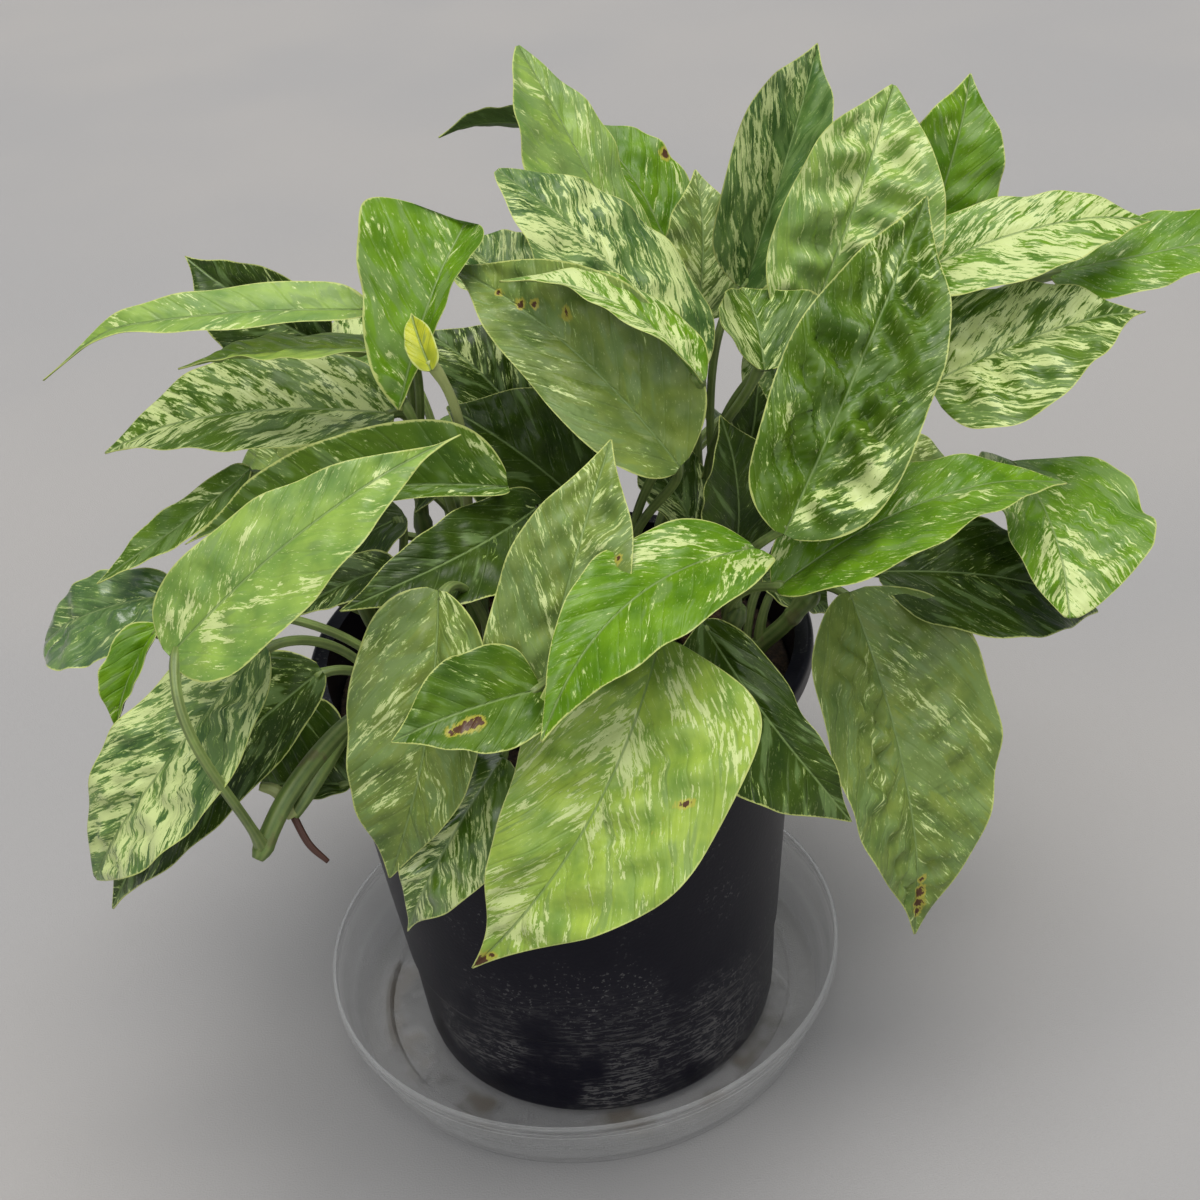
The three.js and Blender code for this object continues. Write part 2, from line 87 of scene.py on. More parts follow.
def smooth(value: np.ndarray, low: float, high: float) -> np.ndarray:
    """Rise smoothly from 0 at low to 1 at high, by 3t^2 - 2t^3.

    Args:
        value: What is read.
        low: Where the rise starts.
        high: Where it ends.

    Returns:
        The rise, from 0 to 1.
    """
    t = np.clip((value - low) / (high - low), 0.0, 1.0)
    return t * t * (3.0 - 2.0 * t)


def bump(value: np.ndarray, centre: float, reach: float) -> np.ndarray:
    """Bell curve exp(-((value - centre) / reach)^2).

    Args:
        value: What is read.
        centre: Where the bell is 1.
        reach: How far it spreads.

    Returns:
        The bell's height, from 0 to 1.
    """
    return np.exp(-(((value - centre) / reach) ** 2))


def turn_sine(turns: np.ndarray) -> np.ndarray:
    """Sine of an angle in full turns."""
    return np.sin(2.0 * math.pi * turns)


def packed(t: np.ndarray, share: float) -> np.ndarray:
    """Shares of the way that crowd towards 0 and 1: t mixed with (1 - cos pi t) / 2 by the share."""
    return (1.0 - share) * t + share * (1.0 - np.cos(math.pi * t)) / 2.0


def turned_about(vector: np.ndarray, axis: np.ndarray, degrees: float) -> np.ndarray:
    """Turn a vector about a unit axis: v cos a + (k x v) sin a + k (k . v)(1 - cos a).

    Args:
        vector: The vector v.
        axis: The unit axis k.
        degrees: The angle a.

    Returns:
        The turned vector.
    """
    a = math.radians(degrees)
    along = axis * float(axis @ vector) * (1.0 - math.cos(a))
    return vector * math.cos(a) + np.cross(axis, vector) * math.sin(a) + along


def ripples(points: np.ndarray, size: float, seed: int, waves: int = 9) -> np.ndarray:
    """Smooth seeded relief: the mean of sine waves in random directions and of random phase.

    Args:
        points: Points, with x, y, z along the last axis.
        size: Length of a typical wave, in the points' unit.
        seed: Seed of the directions and phases.
        waves: How many waves are summed.

    Returns:
        The relief at each point, from about -1 to 1.
    """
    draw = np.random.default_rng(seed)
    directions = unit(draw.normal(size=(waves, 3))) * draw.uniform(0.6, 1.6, (waves, 1))
    phases = draw.uniform(0.0, 2.0 * math.pi, waves)
    angle = points @ directions.T * (2.0 * math.pi / size) + phases
    return np.sin(angle).sum(axis=-1) / math.sqrt(waves)


# Curves


def bezier(controls: np.ndarray, t: np.ndarray) -> np.ndarray:
    """Cubic curve: each control point weighted by its Bernstein polynomial.

    Args:
        controls: Four points.
        t: Shares of the way along the curve.

    Returns:
        One point for each t.
    """
    s = 1.0 - t
    weights = np.stack([s**3, 3 * s * s * t, 3 * s * t * t, t**3], axis=-1)
    return weights @ controls


def spline(points: np.ndarray, t: np.ndarray) -> np.ndarray:
    """Centripetal Catmull-Rom curve through points, with mirrored points beyond its ends.

    Between two points the curve is a Hermite cubic. Its slopes come from the divided differences of
    the four nearest points, whose spans are the square roots of their distances.

    Args:
        points: The points that it passes, in order.
        t: Shares of the way, with an equal share for each span.

    Returns:
        One point for each t.
    """
    before, beyond = 2 * points[0] - points[1], 2 * points[-1] - points[-2]
    guides = np.concatenate([[before], points, [beyond]])
    place = np.clip(t, 0.0, 1.0) * (len(points) - 1)
    span = np.minimum(place.astype(int), len(points) - 2)
    w = (place - span)[:, None]
    p0, p1, p2, p3 = (guides[span + k] for k in range(4))
    steps = (p1 - p0, p2 - p1, p3 - p2)
    d0, d1, d2 = (np.sqrt(np.linalg.norm(step, axis=1, keepdims=True)) for step in steps)
    slope1 = ((p1 - p0) / d0 - (p2 - p0) / (d0 + d1) + (p2 - p1) / d1) * d1
    slope2 = ((p2 - p1) / d1 - (p3 - p1) / (d1 + d2) + (p3 - p2) / d2) * d1
    c2 = 3 * (p2 - p1) - 2 * slope1 - slope2
    c3 = 2 * (p1 - p2) + slope1 + slope2
    return p1 + slope1 * w + c2 * w**2 + c3 * w**3


# Meshes


@dataclass
class Surface:
    """Closed meshes that grow into one object, with values at each vertex."""

    points: list[np.ndarray] = field(default_factory=list)
    quads: list[np.ndarray] = field(default_factory=list)
    triangles: list[np.ndarray] = field(default_factory=list)
    values: dict[str, list[np.ndarray]] = field(default_factory=dict)
    count: int = 0

    def loft(self, rings: np.ndarray, values: dict[str, np.ndarray] | None = None) -> None:
        """Join closed rings to their neighbours, and close both ends on the ends' middle points.

        The second half of a ring splits its quads along the other diagonal, so that the two sheets
        of a thin blade are split alike and never cross.

        Args:
            rings: Points, as rings by points of a ring by 3, in metres.
            values: Values with the same first two axes, kept at the vertices.
        """
        n, k = rings.shape[:2]
        flat = np.concatenate([rings.reshape(-1, 3), rings[:1].mean(axis=1), rings[-1:].mean(axis=1)])
        at = np.arange(n * k).reshape(n, k)
        after = np.roll(at, -1, axis=1)
        quads = np.stack([at[:-1], after[:-1], after[1:], at[1:]], axis=-1)
        quads[:, k // 2 :] = np.roll(quads[:, k // 2 :], 1, axis=-1)
        quads = quads.reshape(-1, 4)
        first = np.stack([after[0], at[0], np.full(k, n * k)], axis=-1)
        last = np.stack([at[-1], after[-1], np.full(k, n * k + 1)], axis=-1)
        triangles = np.concatenate([first, last])
        whole = np.concatenate([quads[:, :3], quads[:, [0, 2, 3]], triangles])
        a, b, c = (flat[whole[:, i]] for i in range(3))
        if (a * np.cross(b, c)).sum() < 0:
            quads, triangles = quads[:, ::-1], triangles[:, ::-1]
        self.points.append(flat)
        self.quads.append(quads + self.count)
        self.triangles.append(triangles + self.count)
        for name, value in (values or {}).items():
            ends = value[:1].mean(axis=1), value[-1:].mean(axis=1)
            held = np.concatenate([value.reshape(n * k, *value.shape[2:]), *ends])
            self.values.setdefault(name, []).append(held)
        self.count += len(flat)

    def build(self, name: str, uv: str | None = None, crease: str | None = None) -> bpy.types.Object:
        """Make the object, smooth shaded, with its values as point attributes.

        Args:
            name: The object's name.
            uv: Name of the two-number value that becomes the UV map.
            crease: Name of the value that is 0 along the edges that stay sharp.

        Returns:
            The object, at the origin.
        """
        quads, triangles = np.concatenate(self.quads), np.concatenate(self.triangles)
        mesh = bpy.data.meshes.new(name)
        mesh.from_pydata(np.concatenate(self.points).tolist(), [], quads.tolist() + triangles.tolist())
        mesh.shade_smooth()
        for key, parts in self.values.items():
            value = np.concatenate(parts).astype(np.float32)
            if key == uv:
                corner = np.empty(len(mesh.loops), np.int32)
                mesh.loops.foreach_get("vertex_index", corner)
                mesh.uv_layers.new(name=key).data.foreach_set("uv", value[corner].ravel())
            elif value.ndim == 1:
                mesh.attributes.new(key, "FLOAT", "POINT").data.foreach_set("value", value)
            else:
                mesh.attributes.new(key, "FLOAT_VECTOR", "POINT").data.foreach_set("vector", value.ravel())
            if key == crease:
                ends = np.empty(2 * len(mesh.edges), np.int32)
                mesh.edges.foreach_get("vertices", ends)
                sharp = value[ends].reshape(-1, 2).max(axis=1) < 1e-4
                mesh.attributes.new("sharp_edge", "BOOLEAN", "EDGE").data.foreach_set("value", sharp)
        thing = bpy.data.objects.new(name, mesh)
        bpy.context.scene.collection.objects.link(thing)
        return thing


def around(sides: int) -> np.ndarray:
    """Angles of a ring's points, evenly spaced from 0."""
    return np.arange(sides) * (2.0 * math.pi / sides)


def turned(profile: np.ndarray, sides: int) -> np.ndarray:
    """Turn a profile about +Z: each [radius, height] becomes a ring.

    Args:
        profile: Radii and heights, from one end to the other.
        sides: Points of a ring.

    Returns:
        Rings for Surface.loft.
    """
    angle = around(sides)
    x = profile[:, :1] * np.cos(angle)
    y = profile[:, :1] * np.sin(angle)
    return np.stack([x, y, np.broadcast_to(profile[:, 1:], x.shape)], axis=-1)


def tube(path: np.ndarray, radius: np.ndarray, section: np.ndarray) -> np.ndarray:
    """Carry a section along a path: each path point plus radius times the section, square to it.

    The section's first axis lies across the path's own plane, and its second in that plane, on the
    path's upper side.

    Args:
        path: Points of the path.
        radius: Size of the section at each of them.
        section: Points around the section, of about unit size.

    Returns:
        Rings for Surface.loft.
    """
    tangent = unit(np.gradient(path, axis=0))
    across = np.cross(path[-1] - path[0], UP)
    if np.linalg.norm(across) < 1e-3 * np.linalg.norm(path[-1] - path[0]):
        across = np.array([1.0, 0.0, 0.0])
    side = unit(across - tangent * (tangent @ across)[:, None])
    top = np.cross(side, tangent)
    offset = side[:, None] * section[None, :, :1] + top[:, None] * section[None, :, 1:]
    return path[:, None] + offset * radius[:, None, None]


# Node graphs


class Graph:
    """A material's node graph, with a short call for each kind of node that the finishes use."""

    def __init__(self, name: str) -> None:
        """Start a material that holds one Principled shader.

        Args:
            name: The material's name.
        """
        self.material = bpy.data.materials.new(name)
        self.material.use_nodes = True
        self.tree = self.material.node_tree
        self.shader = self.tree.nodes["Principled BSDF"]

    def put(self, socket: bpy.types.NodeSocket, value: object) -> None:
        """Link a socket to another one, or set its own value.

        Args:
            socket: The input.
            value: An output to link, or a number, tuple or colour.
        """
        if isinstance(value, bpy.types.NodeSocket):
            self.tree.links.new(value, socket)
        elif isinstance(value, tuple) and socket.type == "RGBA":
            socket.default_value = (*value[:3], 1.0)
        else:
            socket.default_value = value

    def node(self, kind: str, inputs: dict[object, object], **settings: object) -> bpy.types.Node:
        """Add a node.

        Args:
            kind: The node's type, without ShaderNode.
            inputs: Socket names or numbers, and what goes into them.
            **settings: The node's own settings.

        Returns:
            The node.
        """
        made = self.tree.nodes.new("ShaderNode" + kind)
        for key, value in settings.items():
            setattr(made, key, value)
        for key, value in inputs.items():
            self.put(made.inputs[key], value)
        return made

    def math(self, operation: str, *values: object) -> bpy.types.NodeSocket:
        """A sum on numbers, such as ADD or MULTIPLY."""
        return self.node("Math", dict(enumerate(values)), operation=operation).outputs[0]

    def plus(self, *terms: object) -> bpy.types.NodeSocket:
        """The sum of two or more numbers."""
        return reduce(lambda first, second: self.math("ADD", first, second), terms)

    def times(self, *factors: object) -> bpy.types.NodeSocket:
        """The product of two or more numbers."""
        return reduce(lambda first, second: self.math("MULTIPLY", first, second), factors)

    def minus(self, first: object, second: object) -> bpy.types.NodeSocket:
        """The first number less the second."""
        return self.math("SUBTRACT", first, second)

    def apart(self, first: object, second: object) -> bpy.types.NodeSocket:
        """How far two numbers are apart."""
        return self.math("ABSOLUTE", self.minus(first, second))

    def tinted(self, first: object, second: object) -> bpy.types.NodeSocket:
        """Two colours multiplied."""
        return self.node("VectorMath", {0: first, 1: second}, operation="MULTIPLY").outputs[0]

    def rise(self, value: object, low: object, high: object) -> bpy.types.NodeSocket:
        """A smooth rise from 0 at low to 1 at high, which falls where low is the larger."""
        inputs = {"Value": value, "From Min": low, "From Max": high}
        return self.node("MapRange", inputs, interpolation_type="SMOOTHSTEP").outputs[0]

    def mix(self, share: object, first: object, second: object) -> bpy.types.NodeSocket:
        """A colour between two others."""
        inputs = {"Factor": share, 6: first, 7: second}
        return self.node("Mix", inputs, data_type="RGBA").outputs[2]

    def layered(self, colour: object, *layers: tuple[object, float, object]) -> bpy.types.NodeSocket:
        """Lay colours over a colour.

        Args:
            colour: The ground.
            *layers: From the lowest up, each one's mask from 0 to 1, its strength and its colour.

        Returns:
            The colour seen from above.
        """
        for mask, strength, tint in layers:
            colour = self.mix(self.times(mask, strength), colour, tint)
        return colour

    def point(self, x: object, y: object, z: object) -> bpy.types.NodeSocket:
        """A vector of three numbers."""
        return self.node("CombineXYZ", {0: x, 1: y, 2: z}).outputs[0]

    def parts(self, vector: object) -> list[bpy.types.NodeSocket]:
        """A vector's three numbers."""
        return list(self.node("SeparateXYZ", {0: vector}).outputs)

    def value(self, name: str) -> bpy.types.NodeSocket:
        """A number kept at the piece's vertices."""
        return self.node("Attribute", {}, attribute_name=name).outputs["Fac"]

    def vector(self, name: str) -> bpy.types.NodeSocket:
        """Three numbers kept at the piece's vertices."""
        return self.node("Attribute", {}, attribute_name=name).outputs["Vector"]

    def place(self) -> bpy.types.NodeSocket:
        """The point's place in the plant's frame, in metres."""
        return self.node("TexCoord", {}).outputs["Object"]

    def noise(
        self, where: object, scale: float = 1.0, detail: float = 3.0, rough: float = 0.6, bend: float = 0.0
    ) -> bpy.types.NodeSocket:
        """Cloudy noise from 0 to 1.

        Args:
            where: The vector that it reads.
            scale: How many clouds fit in a unit.
            detail: Octaves of finer clouds.
            rough: How strong the finer ones are.
            bend: How far it is distorted.

        Returns:
            The noise's number.
        """
        inputs = {"Vector": where, "Scale": scale, "Detail": detail, "Roughness": rough, "Distortion": bend}
        return self.node("TexNoise", inputs).outputs["Fac"]

    def finish(self, height: object = None, depth: float = 0.0, **shader: object) -> bpy.types.Material:
        """Set the shader's sockets and the bump.

        Args:
            height: What the bump reads, from 0 to 1.
            depth: How high a height of 1 stands, in metres.
            **shader: Socket names, with _ for each space, and their values.

        Returns:
            The material.
        """
        for key, value in shader.items():
            self.put(self.shader.inputs[key.replace("_", " ")], value)
        if height is not None:
            relief = self.node("Bump", {"Height": height, "Distance": depth, "Strength": 1.0})
            self.put(self.shader.inputs["Normal"], relief.outputs[0])
        return self.material


# Finishes


class Tone(Enum):
    """Ground colours of the blades, as linear red, green and blue."""

    DARK = (0.036, 0.074, 0.004)
    MID = (0.078, 0.160, 0.010)
    BRIGHT = (0.120, 0.262, 0.006)
    LIGHT = (0.235, 0.385, 0.078)
    YELLOW = (0.300, 0.450, 0.075)
    GREYED = (0.180, 0.262, 0.058)
    BLUISH = (0.082, 0.168, 0.042)
    YOUNG = (0.420, 0.480, 0.030)


@dataclass(frozen=True)
class Look:
    """Markings of one blade.

    cream is the share of the blade that the cream marbling covers, and left and right scale it on
    the two halves, seen from the face with the tip up. veil is the same for the grey-green under it.
    flecks, quilt and gloss are strengths. Patches add cream, and spots dry brown marks, each at
    (u, v, radius in mm), with how much cream as a fourth number of a patch.
    """

    tone: Tone
    cream: float = 0.1
    veil: float = 0.3
    flecks: float = 0.4
    quilt: float = 0.5
    gloss: float = 0.4
    left: float = 1.0
    right: float = 1.0
    patches: tuple[tuple[float, float, float, float], ...] = ()
    spots: tuple[tuple[float, float, float], ...] = ()


@dataclass(frozen=True)
class Clouds:
    """Noise drawn out along the side veins: its clouds across a vein and in a centimetre along it,
    what sets its draw apart, its octaves, how strong the finer ones are, and its distortion."""

    across: float
    along: float
    shift: float
    detail: float
    rough: float = 0.62
    bend: float = 0.0


@dataclass(frozen=True)
class BladeFinish:
    """Leathery blade: green ground, veil and marbling streaked along the side veins, pale margin.

    A Span is where a rise starts and ends, but cream_limit and veil_limit hold the noise above which
    cream or veil shows at a share of none, and how far that falls for a share of 1. The edges of
    cream, half_cream and veil are counted from there. roughness is that of a dull face, and what
    gloss takes off it.
    """

    cream: Colour = (0.630, 0.720, 0.300)
    half_cream: Colour = (0.290, 0.430, 0.090)
    veil: Colour = (0.175, 0.275, 0.085)
    margin: Colour = (0.540, 0.600, 0.180)
    rib: Colour = (0.230, 0.330, 0.110)
    under: Colour = (0.120, 0.190, 0.060)
    dry: Colour = (0.090, 0.040, 0.018)
    halo: Colour = (0.520, 0.440, 0.060)
    shade: Colour = (0.60, 0.68, 0.66)
    warm: Colour = (1.38, 1.24, 1.05)
    region: Clouds = Clouds(0.55, 0.40, 11.3, 1.0)
    marble: Clouds = Clouds(2.3, 1.5, 0.0, 5.0, 0.66, 0.9)
    streak: Clouds = Clouds(6.5, 2.8, 3.1, 4.0, 0.66, 0.7)
    fine: Clouds = Clouds(15.0, 9.0, 5.7, 2.0)
    soft: Clouds = Clouds(1.3, 0.9, 17.9, 2.0, 0.5)
    grain: Clouds = Clouds(9.0, 9.0, 29.0, 2.0, 0.5)
    blisters: Clouds = Clouds(1.8, 1.6, 23.0, 2.5, 0.5)
    marbling: Colour = (0.44, 0.24, 0.32)
    cream_limit: Span = (0.618, 0.20)
    cream_edge: Span = (0.0, 0.006)
    half_edge: Span = (-0.032, -0.018)
    veil_limit: Span = (0.66, 0.26)
    veil_edge: Span = (-0.03, 0.05)
    holes: Span = (0.70, 0.66)
    fleck: Span = (0.875, 0.905)
    fleck_streak: float = 0.45
    patchy: Span = (0.30, 0.70)
    patches_per_m: float = 75.0
    patch_share: float = 0.65
    vein: Span = (0.462, 0.495)
    vein_off: Span = (0.05, 0.35)
    halo_edge: Span = (0.15, 0.45)
    dry_edge: Span = (0.55, 0.70)
    dry_ragged: float = 0.9
    margin_mm: float = 0.55
    margin_ragged_mm: float = 1.8
    margin_full: float = 0.45
    rib_cm: float = 0.06
    rib_full: float = 0.25
    under_share: float = 0.45
    vein_relief: float = 0.15
    blister_relief: float = 0.8
    rib_relief: float = 0.3
    relief_m: float = 0.0008
    roughness: Span = (0.50, 0.26)
    under_rougher: float = 0.15
    rough_cloud: float = 0.2

    def material(self) -> bpy.types.Material:
        """Build the material. It reads the UV map veins, with the side-vein count along u and the
        distance from the midrib in centimetres along v, and the values that Blade.rings gives.

        Returns:
            The material.
        """
        g = Graph("leaf_blade")
        count, off, _ = g.parts(g.node("UVMap", {}, uv_map="veins").outputs[0])
        seed, cover, side = g.value("seed"), g.value("cover"), g.value("side")
        veil_share, flecks, gloss = g.parts(g.vector("marks"))

        def clouds(kind: Clouds) -> bpy.types.NodeSocket:
            """The noise of a kind, from 0 to 1."""
            where = g.point(g.times(count, kind.across), g.times(off, kind.along), g.plus(seed, kind.shift))
            return g.noise(where, 1.0, kind.detail, kind.rough, kind.bend)

        def past(value: object, limit: object, edge: Span) -> bpy.types.NodeSocket:
            """The rise of a value over an edge that is counted from a limit."""
            return g.rise(value, *(g.plus(limit, step) for step in edge))

        region, marble, streak = clouds(self.region), clouds(self.marble), clouds(self.streak)
        fine, soft, grain = clouds(self.fine), clouds(self.soft), clouds(self.grain)

        coarse, wide, thin = self.marbling
        noise = g.plus(g.times(marble, coarse), g.times(region, wide), g.times(streak, thin))
        limit = g.minus(self.cream_limit[0], g.times(cover, self.cream_limit[1]))
        cream = g.times(past(noise, limit, self.cream_edge), g.rise(fine, *self.holes))
        half = past(noise, limit, self.half_edge)
        limit = g.minus(self.veil_limit[0], g.times(veil_share, self.veil_limit[1]))
        veil = past(soft, limit, self.veil_edge)
        fleck = g.times(g.rise(g.plus(fine, g.times(streak, self.fleck_streak)), *self.fleck), flecks)

        near = g.apart(g.math("FRACT", count), 0.5)
        beside = g.math("ABSOLUTE", off)
        vein = g.times(g.rise(near, *self.vein), g.rise(beside, *self.vein_off))
        rib = g.rise(beside, self.rib_cm, self.rib_full * self.rib_cm)
        ragged = g.times(g.minus(grain, 0.5), g.rise(g.value("dry"), 0.0, 0.2))
        dry = g.plus(g.value("dry"), g.times(ragged, self.dry_ragged))
        width = g.plus(self.margin_mm, g.times(g.minus(streak, 0.5), self.margin_ragged_mm))
        margin = g.rise(g.value("edge"), width, g.times(width, self.margin_full))

        patches = g.noise(g.place(), self.patches_per_m, 3.0, 0.55)
        patchy = g.plus(g.times(soft, 1.0 - self.patch_share), g.times(patches, self.patch_share))
        ground = g.vector("tone")
        shade, warm = g.tinted(ground, self.shade), g.tinted(ground, self.warm)
        colour = g.layered(
            g.mix(g.rise(patchy, *self.patchy), shade, warm),
            (veil, 0.60, self.veil),
            (vein, 0.22, self.rib),
            (half, 0.38, self.half_cream),
            (cream, 0.92, self.cream),
            (fleck, 0.60, self.cream),
            (rib, 0.75, self.rib),
            (g.rise(dry, *self.halo_edge), 0.65, self.halo),
            (g.rise(dry, *self.dry_edge), 1.0, self.dry),
            (margin, 0.90, self.margin),
        )
        colour = g.mix(side, colour, g.mix(self.under_share, colour, self.under))

        relief = g.plus(
            g.times(g.rise(near, 0.5, 0.40), self.vein_relief),
            g.times(clouds(self.blisters), self.blister_relief),
            g.times(g.rise(beside, 0.0, self.rib_cm), self.rib_relief),
        )
        dull, glossy = self.roughness
        rough = g.plus(g.minus(dull, g.times(gloss, glossy)), g.times(side, self.under_rougher))
        return g.finish(
            relief,
            self.relief_m,
            Base_Color=colour,
            Roughness=g.plus(rough, g.times(g.minus(soft, 0.5), self.rough_cloud)),
            Specular_IOR_Level=0.30,
            Coat_Weight=g.rise(gloss, 0.5, 1.0),
            Coat_Roughness=0.30,
        )


@dataclass(frozen=True)
class StalkFinish:
    """Green stems and petioles with fine ridges along them, corky and brown where they are old."""

    green: Colour = (0.185, 0.290, 0.060)
    dark: Colour = (0.070, 0.120, 0.026)
    cork: Colour = (0.125, 0.085, 0.045)
    pale: Colour = (0.430, 0.480, 0.170)
    root: Colour = (0.075, 0.030, 0.020)
    patchy: Span = (0.30, 0.70)
    scar: Span = (0.66, 0.78)
    scar_age: float = 0.22
    ridge_relief: float = 0.6
    relief_m: float = 0.0002

    def material(self) -> bpy.types.Material:
        """Build the material. It reads the values ridge, age, root and pale at the vertices.

        Returns:
            The material.
        """
        g = Graph("leaf_stalk")
        where = g.place()
        cloud = g.noise(where, 90.0, 4.0, 0.6)
        grain = g.noise(where, 900.0, 2.0, 0.5)
        ridge, age = g.value("ridge"), g.value("age")
        scars = g.times(g.rise(g.plus(cloud, g.times(age, self.scar_age)), *self.scar), age)
        colour = g.layered(
            g.mix(g.rise(cloud, *self.patchy), self.dark, self.green),
            (age, 0.75, self.dark),
            (g.value("pale"), 0.90, self.pale),
            (ridge, 0.28, self.pale),
            (scars, 1.0, self.cork),
            (g.value("root"), 1.0, self.root),
        )
        height = g.plus(g.times(ridge, self.ridge_relief), g.times(grain, 1.0 - self.ridge_relief))
        return g.finish(height, self.relief_m, Base_Color=colour, Roughness=0.48)


@dataclass(frozen=True)
class MixFinish:
    """Potting mix: dark moist crumbs, with bark and a little perlite."""

    dark: Colour = (0.022, 0.014, 0.009)
    brown: Colour = (0.085, 0.050, 0.028)
    fibres: Colour = (900.0, 200.0, 400.0)
    crumbs_per_m: float = 420.0
    crumbly: Span = (0.35, 0.70)
    crumb_relief: float = 0.7
    relief_m: float = 0.0012

    def material(self) -> bpy.types.Material:
        """Build the material. It reads the value tint at the vertices, for the loose bits.

        Returns:
            The material.
        """
        g = Graph("potting_mix")
        where = g.place()
        crumb = g.noise(where, self.crumbs_per_m, 5.0, 0.7)
        fibre = g.noise(g.node("Mapping", {"Vector": where, "Scale": self.fibres}).outputs[0], 1.0, 3.0)
        colour = g.mix(g.rise(crumb, *self.crumbly), self.dark, self.brown)
        height = g.plus(g.times(crumb, self.crumb_relief), g.times(fibre, 1.0 - self.crumb_relief))
        colour = g.tinted(g.vector("tint"), colour)
        return g.finish(height, self.relief_m, Base_Color=colour, Roughness=0.9)


@dataclass(frozen=True)
class PotFinish:
    """Black moulded plastic, with dusty scuffs and pale water marks towards its foot."""

    black: Colour = (0.0034, 0.0030, 0.0088)
    worn: Colour = (0.0092, 0.0086, 0.0150)
    dust: Colour = (0.150, 0.145, 0.140)
    dash: Colour = (55.0, 55.0, 330.0)
    marked: Span = (0.085, 0.020)
    worn_cloud: Span = (0.35, 0.75)
    band_cloud: Span = (0.42, 0.58)
    dot_cloud: Span = (0.44, 0.62)
    mark_edge: Span = (0.50, 0.58)
    dot_edge: Span = (0.60, 0.68)
    relief_m: float = 0.00006

    def material(self) -> bpy.types.Material:
        """Build the material from Object coordinates: marks run level round the pot.

        Returns:
            The material.
        """
        g = Graph("pot_plastic")
        where = g.place()
        x, y, z = g.parts(where)
        wide, deep, high = self.dash
        cloud = g.noise(where, 22.0, 4.0, 0.6)
        dashes = g.noise(g.point(g.times(x, wide), g.times(y, deep), g.times(z, high)), 3.0, 4.0, 0.7)
        specks = g.noise(where, 700.0, 2.0, 0.5)
        band = g.times(g.rise(cloud, *self.band_cloud), g.rise(z, *self.marked))
        marks = g.times(g.rise(dashes, *self.mark_edge), band)
        dots = g.times(g.rise(specks, *self.dot_edge), g.rise(cloud, *self.dot_cloud))
        colour = g.layered(
            g.mix(g.rise(cloud, *self.worn_cloud), self.black, self.worn),
            (band, 0.05, self.dust),
            (marks, 0.80, self.dust),
            (dots, 0.60, self.dust),
        )
        rough = g.plus(0.30, g.times(cloud, 0.14), g.times(marks, 0.3))
        return g.finish(specks, self.relief_m, Base_Color=colour, Roughness=rough, Specular_IOR_Level=0.18)


@dataclass(frozen=True)
class ClearFinish:
    """Thin clear plastic: it is nearly see-through face on, and whiter at a glancing angle and where it
    is scuffed. Painted highlight lines whiten its edges at the rim's top and the lip's lower bend.
    Brown water marks lie on its floor. Heights and radii are metres."""

    tint: Colour = (0.82, 0.82, 0.80)
    stain: Colour = (0.23, 0.17, 0.10)
    # Painted highlight lines: the heights where the rim's top and the lip's lower bend are drawn whiter,
    # and how wide.
    rim_highlight: Span = (0.0272, 0.0286)
    lip_highlight: float = 0.0240
    highlight_width: Span = (0.0007, 0.0001)
    stain_in: Span = (0.066, 0.072)
    stain_out: Span = (0.090, 0.080)
    stain_high: Span = (0.009, 0.005)
    stain_cloud: Span = (0.44, 0.60)
    scuff_edge: Span = (0.60, 0.75)
    least_alpha: float = 0.035
    glance_alpha: float = 0.42
    scuff_alpha: float = 0.05
    highlight_alpha: float = 0.22
    stain_alpha: float = 0.45
    relief_m: float = 0.0001

    def material(self) -> bpy.types.Material:
        """Build the material from Object coordinates and the shader's facing.

        Returns:
            The material.
        """
        g = Graph("clear_plastic")
        where = g.place()
        x, y, z = g.parts(where)
        out = g.math("SQRT", g.plus(g.times(x, x), g.times(y, y)))
        scuffs = g.noise(where, 160.0, 4.0, 0.65)
        cloud = g.noise(where, 28.0, 3.0, 0.6)
        ring = g.times(g.rise(out, *self.stain_in), g.rise(out, *self.stain_out))
        stain = g.times(ring, g.rise(cloud, *self.stain_cloud), g.rise(z, *self.stain_high))
        glance = g.node("LayerWeight", {"Blend": 0.5}).outputs["Facing"]
        # Painted highlight lines: extra whiteness along the rim's top and the lip's lower bend.
        highlight_lines = g.plus(g.rise(z, *self.rim_highlight), g.rise(g.apart(z, self.lip_highlight), *self.highlight_width))
        alpha = g.plus(
            self.least_alpha,
            g.times(g.math("POWER", glance, 3.0), self.glance_alpha),
            g.times(g.rise(scuffs, *self.scuff_edge), self.scuff_alpha),
            g.times(highlight_lines, self.highlight_alpha),
            g.times(stain, self.stain_alpha),
        )
        return g.finish(
            scuffs,
            self.relief_m,
            Base_Color=g.layered(self.tint, (stain, 0.80, self.stain)),
            Roughness=g.plus(0.06, g.times(scuffs, 0.14)),
            Alpha=alpha,
            Specular_IOR_Level=1.0,
        )


# Blades


@dataclass(frozen=True)
class Leaf:
    """One leaf: where its blade joins its petiole, its point and width, its form and its look.

    start is how far up the stem its petiole starts, and bend pushes the petiole aside. roll turns the
    blade about its midrib and fold lifts its halves, in degrees. As shares of the length, arch bows it
    out of its face, sway bows it to its right, lobe reaches back beside the petiole and curl bends the
    tip down. wave and cup lift the edges by shares of the width. lean widens the right half, blunt
    fills the outline towards the tip, and a taper under 1 fills it towards the base.
    """

    at: Place
    tip: Place
    width: float
    start: float
    look: Look
    roll: float = 0.0
    fold: float = 15.0
    arch: float = 0.1
    sway: float = 0.0
    lobe: float = 0.07
    wave: float = 0.03
    cup: float = 0.0
    bend: Place = (0.0, 0.0, 0.0)
    blunt: float = 0.0
    taper: float = 1.0
    lean: float = 0.0
    curl: float = 0.04


